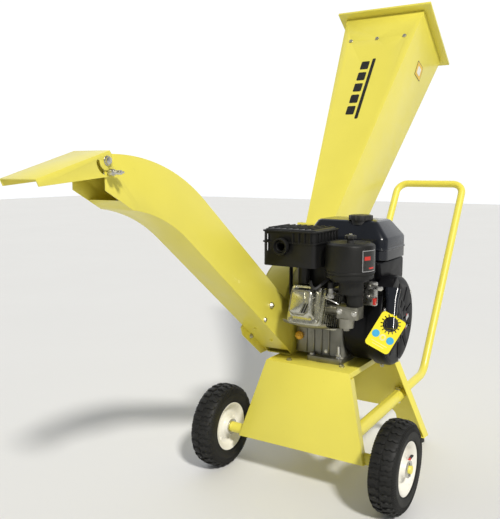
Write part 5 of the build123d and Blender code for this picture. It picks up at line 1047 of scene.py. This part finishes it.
class CHIPPER_OT_starter(Step, bpy.types.Operator):
    """Blower housing, recoil cover, grip, rope and the card hung on the grip"""
    bl_idname = "chipper.starter"
    bl_label = "Recoil starter"

    def build(self):
        refined("blower_housing", "deep black", 2.0, 3)
        refined("recoil_cover", "deep black", 0.8, 2)
        refined("starter_grip", "gloss black", 2.4, 3)
        refined("starter_rope", "rope", 0.3)
        self.badge()
        self.card()
        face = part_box("recoil_cover")[0].x / MM + 14
        turns = [math.radians(angle) for angle in (35, 155, 275)]
        spots = [(face + 22, CRANK.y + 108 * math.cos(turn), CRANK.z + 108 * math.sin(turn)) for turn in turns]
        screws = solid("recoil_screws", *[(hex_head, at, (1, 0, 0), 5.0) for at in spots])
        piece("recoil_screws", screws, "zinc", "chassis")

    def badge(self):
        """Plain round badge in the middle of the recoil cover"""
        face = 184.0
        mesh = solid("badge", (lathe, [(-1, 0), (-1, 21), (1.2, 20.4), (1.6, 18), (0.8, 17), (0.8, 0)],
                               (face, CRANK.y, CRANK.z), (1, 0, 0), 64, False))
        piece("recoil_badge", mesh, "deep black", "chassis")
        mesh = solid("spoke", (block, (face - 3, -2.0, 58), (face + 1.4, 2.0, 98)))
        mesh = repeated(softened(mesh, 1.0), "deep black", 10, (0, 0, 0),
                        (2 * math.pi / 10, 0, 0), (0, CRANK.y, CRANK.z))
        piece("recoil_ribs", mesh, "deep black", "chassis")
        for name, paint, y, z, wide, tall in (("mark_upper", "silver ink", 65, -2, 20, 11),
                                              ("mark_upper_dot", "red", 60, 5, 5, 5),
                                              ("mark_lower", "silver ink", 63, -26, 14, 5),
                                              ("mark_lower_dot", "red", 52, -30, 5, 4)):
            mesh = solid(name, (plate, rounded(wide, tall, 1.5, 4, turn=math.radians(25)),
                                (face - 0.2, CRANK.y + y, CRANK.z + z), (0, 1, 0), (0, 0, 1),
                                0.9 if "dot" in name else 0.6))
            piece(name, mesh, paint, "chassis")

    def card(self):
        """Card with a toothed hole, two blue discs and a pale ring"""
        right = Vector((0.848, 0.53, 0)).normalized()
        up = Vector((0, 0, 1))
        hole = GRIP_BASE + GRIP_PULL * GRIP_TO_CARD
        turn = math.radians(30)
        middle_of = (-24 * math.sin(turn), -24 * math.cos(turn))
        outer = rounded(66, 92, 9, 8, middle_of, -turn)
        teeth = 16
        inner = []
        for k in range(teeth):
            for share, radius in ((0.0, 19.0), (0.32, 19.0), (0.36, 25.0), (0.64, 25.0), (0.68, 19.0)):
                angle = 2 * math.pi * (k + share) / teeth
                inner.append((radius * math.cos(angle), radius * math.sin(angle)))
        body = BODY_OF["hang_tag"]
        card = bmesh.new()
        plate(card, outer, hole, right, up, 1.0, [inner])
        outward(card)
        piece("card", mesh_of("card", card, 30), "card", body, ("hang_tag",))
        normal = right.cross(up).normalized()
        down = Vector((-math.sin(turn), -math.cos(turn)))
        side = Vector((math.cos(turn), -math.sin(turn)))
        for name, paint, radius, across, below in (
                ("card_disc_left", "blue ink", 9.5, -20, 36), ("card_disc_right", "blue ink", 9.5, 20, 36),
                ("card_ring", "pale ink", 8.0, 0, 37)):
            spot = down * below + side * across
            disc_mesh = bmesh.new()
            holes = [disc(radius * 0.55, 24, spot)[::-1]] if name == "card_ring" else []
            plate(disc_mesh, disc(radius, 32, spot), hole + normal * 0.9, right, up, 0.35, holes)
            outward(disc_mesh)
            piece(name, mesh_of(name, disc_mesh), paint, body)
        for k in (0, 1):
            line = bmesh.new()
            spot = down * (54 + 6 * k)
            plate(line, rounded(44 - 12 * k, 1.2, 0.5, 3, spot, -turn), hole + normal * 0.9, right, up, 0.3)
            outward(line)
            piece(f"card_line_{k + 1}", mesh_of("line", line), "pale ink", body)


class CHIPPER_OT_controls(Step, bpy.types.Operator):
    """Throttle and choke levers, control plate, spark plug, leads, hose and linkage"""
    bl_idname = "chipper.controls"
    bl_label = "Controls and leads"

    def build(self):
        refined("control_plate", "zinc", 0.4)
        refined("throttle_lever", "zinc", 0.5)
        refined("choke_lever", "zinc", 0.5)
        refined("spark_plug", "ceramic", 0.6)
        refined("spark_plug_lead", "rubber", 0.5)
        low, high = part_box("choke_lever")
        mesh = solid("choke_tip", (block, (high.x / MM - 9, low.y / MM - 0.2, low.z / MM - 1.5),
                                   (high.x / MM, low.y / MM + 5, low.z / MM + 15)))
        piece("choke_tip", softened(mesh, 1.6, 3), "red", BODY_OF["choke_lever"])
        hose = tube("hose", [(72, AXLE.y + 34, 560), (56, AXLE.y - 2, 540), (44, AXLE.y - 26, 522),
                             (30, AXLE.y - 22, 530), (16, AXLE.y + 2, 538)], 4.0)
        piece("breather_hose", hose, "rubber", "chassis")
        spring = []
        for k in range(60):
            turn = k / 60 * 2 * math.pi * 9
            spring.append((66 + 3.0 * math.cos(turn) + k * 0.25, AXLE.y - 20 + 3.0 * math.sin(turn), 505 + k * 0.1))
        piece("governor_spring", tube("spring", spring, 0.7, 3, 3), "zinc", "chassis")
        rod = tube("rod", [(60, AXLE.y - 18, 504), (66, AXLE.y - 24, 506), (92, AXLE.y - 26, 500),
                           (104, AXLE.y - 20, 492)], 1.6)
        piece("linkage_rod", rod, "zinc", "chassis")


class CHIPPER_OT_stage(Step, bpy.types.Operator):
    """Pale floor, soft studio light and the camera"""
    bl_idname = "chipper.stage"
    bl_label = "Stage"

    def build(self):
        scene = bpy.context.scene
        mesh = bpy.data.meshes.new("floor")
        mesh.from_pydata([(x * FLOOR_HALF, y * FLOOR_HALF, 0) for x, y in ((-1, -1), (1, -1), (1, 1), (-1, 1))],
                         [], [(0, 1, 2, 3)])
        floor = bpy.data.objects.new("floor", mesh)
        scene.collection.objects.link(floor)
        mesh.materials.append(PAINT["floor"])
        scene.view_settings.view_transform = "Standard"
        self.sky(scene)
        key = bpy.data.lights.new("key", "SUN")
        key.energy = LAMP_POWER
        key.angle = math.radians(7)
        key.color = (1.0, 0.975, 0.93)
        lamp = bpy.data.objects.new("key", key)
        lamp.rotation_euler = Vector(LAMP_AIM).to_track_quat("-Z", "Y").to_euler()
        scene.collection.objects.link(lamp)
        data = bpy.data.cameras.new("camera")
        data.sensor_width = SENSOR
        data.lens = LENS
        camera = bpy.data.objects.new("camera", data)
        yaw, pitch = math.radians(CAMERA_TURN), math.radians(CAMERA_TILT)
        camera.location = CAMERA_PLACE
        look = Vector((-math.sin(yaw) * math.cos(pitch), math.cos(yaw) * math.cos(pitch), -math.sin(pitch)))
        camera.rotation_euler = look.to_track_quat("-Z", "Y").to_euler()
        scene.collection.objects.link(camera)
        scene.camera = camera

    def sky(self, scene):
        """White studio behind the machine, dimmer in front of it so that black surfaces stay black"""
        world = bpy.data.worlds.new("studio")
        scene.world = world
        world.use_nodes = True
        tree = world.node_tree
        background = tree.nodes["Background"]
        coords = tree.nodes.new("ShaderNodeTexCoord")
        along = tree.nodes.new("ShaderNodeVectorMath")
        along.operation = "DOT_PRODUCT"
        along.inputs[1].default_value = (-0.53, 0.84, 0.0)
        tree.links.new(coords.outputs["Generated"], along.inputs[0])
        level = tree.nodes.new("ShaderNodeMapRange")
        socket(level, "From Min", 0.1)
        socket(level, "From Max", 0.75)
        socket(level, "To Min", 0.26)
        socket(level, "To Max", 1.05)
        tree.links.new(along.outputs["Value"], level.inputs["Value"])
        tree.links.new(level.outputs["Result"], background.inputs["Strength"])
        socket(background, "Color", (0.97, 0.985, 1.0, 1))


STEPS = (CHIPPER_OT_sheet, CHIPPER_OT_welds, CHIPPER_OT_decals, CHIPPER_OT_fasteners, CHIPPER_OT_tyres,
         CHIPPER_OT_rims, CHIPPER_OT_rotor, CHIPPER_OT_rubber, CHIPPER_OT_engine_block, CHIPPER_OT_breathing,
         CHIPPER_OT_tank, CHIPPER_OT_starter, CHIPPER_OT_controls, CHIPPER_OT_stage)


class CHIPPER_PT_panel(bpy.types.Panel):
    """Lists the settings and every step in the 3D view's sidebar"""
    bl_idname = "CHIPPER_PT_panel"
    bl_label = "Chipper"
    bl_space_type = "VIEW_3D"
    bl_region_type = "UI"
    bl_category = "Chipper"

    def draw(self, context):
        layout = self.layout
        for name in ("body_colour", "rim_colour", "tread_pitches", "tread_depth", "shoulder_ribs",
                     "sheet_rounding"):
            layout.prop(context.scene.chipper, name)
        for step in STEPS:
            layout.operator(step.bl_idname)


CLASSES = (ChipperSettings, *STEPS, CHIPPER_PT_panel)


def register():
    for each in CLASSES:
        bpy.utils.register_class(each)
    bpy.types.Scene.chipper = PointerProperty(type=ChipperSettings)


def unregister():
    del bpy.types.Scene.chipper
    for each in reversed(CLASSES):
        bpy.utils.unregister_class(each)


def main():
    register()
    make_finishes(settings())
    for step in STEPS:
        group, name = step.bl_idname.split(".")
        getattr(getattr(bpy.ops, group), name)()


if __name__ == "__main__":
    main()
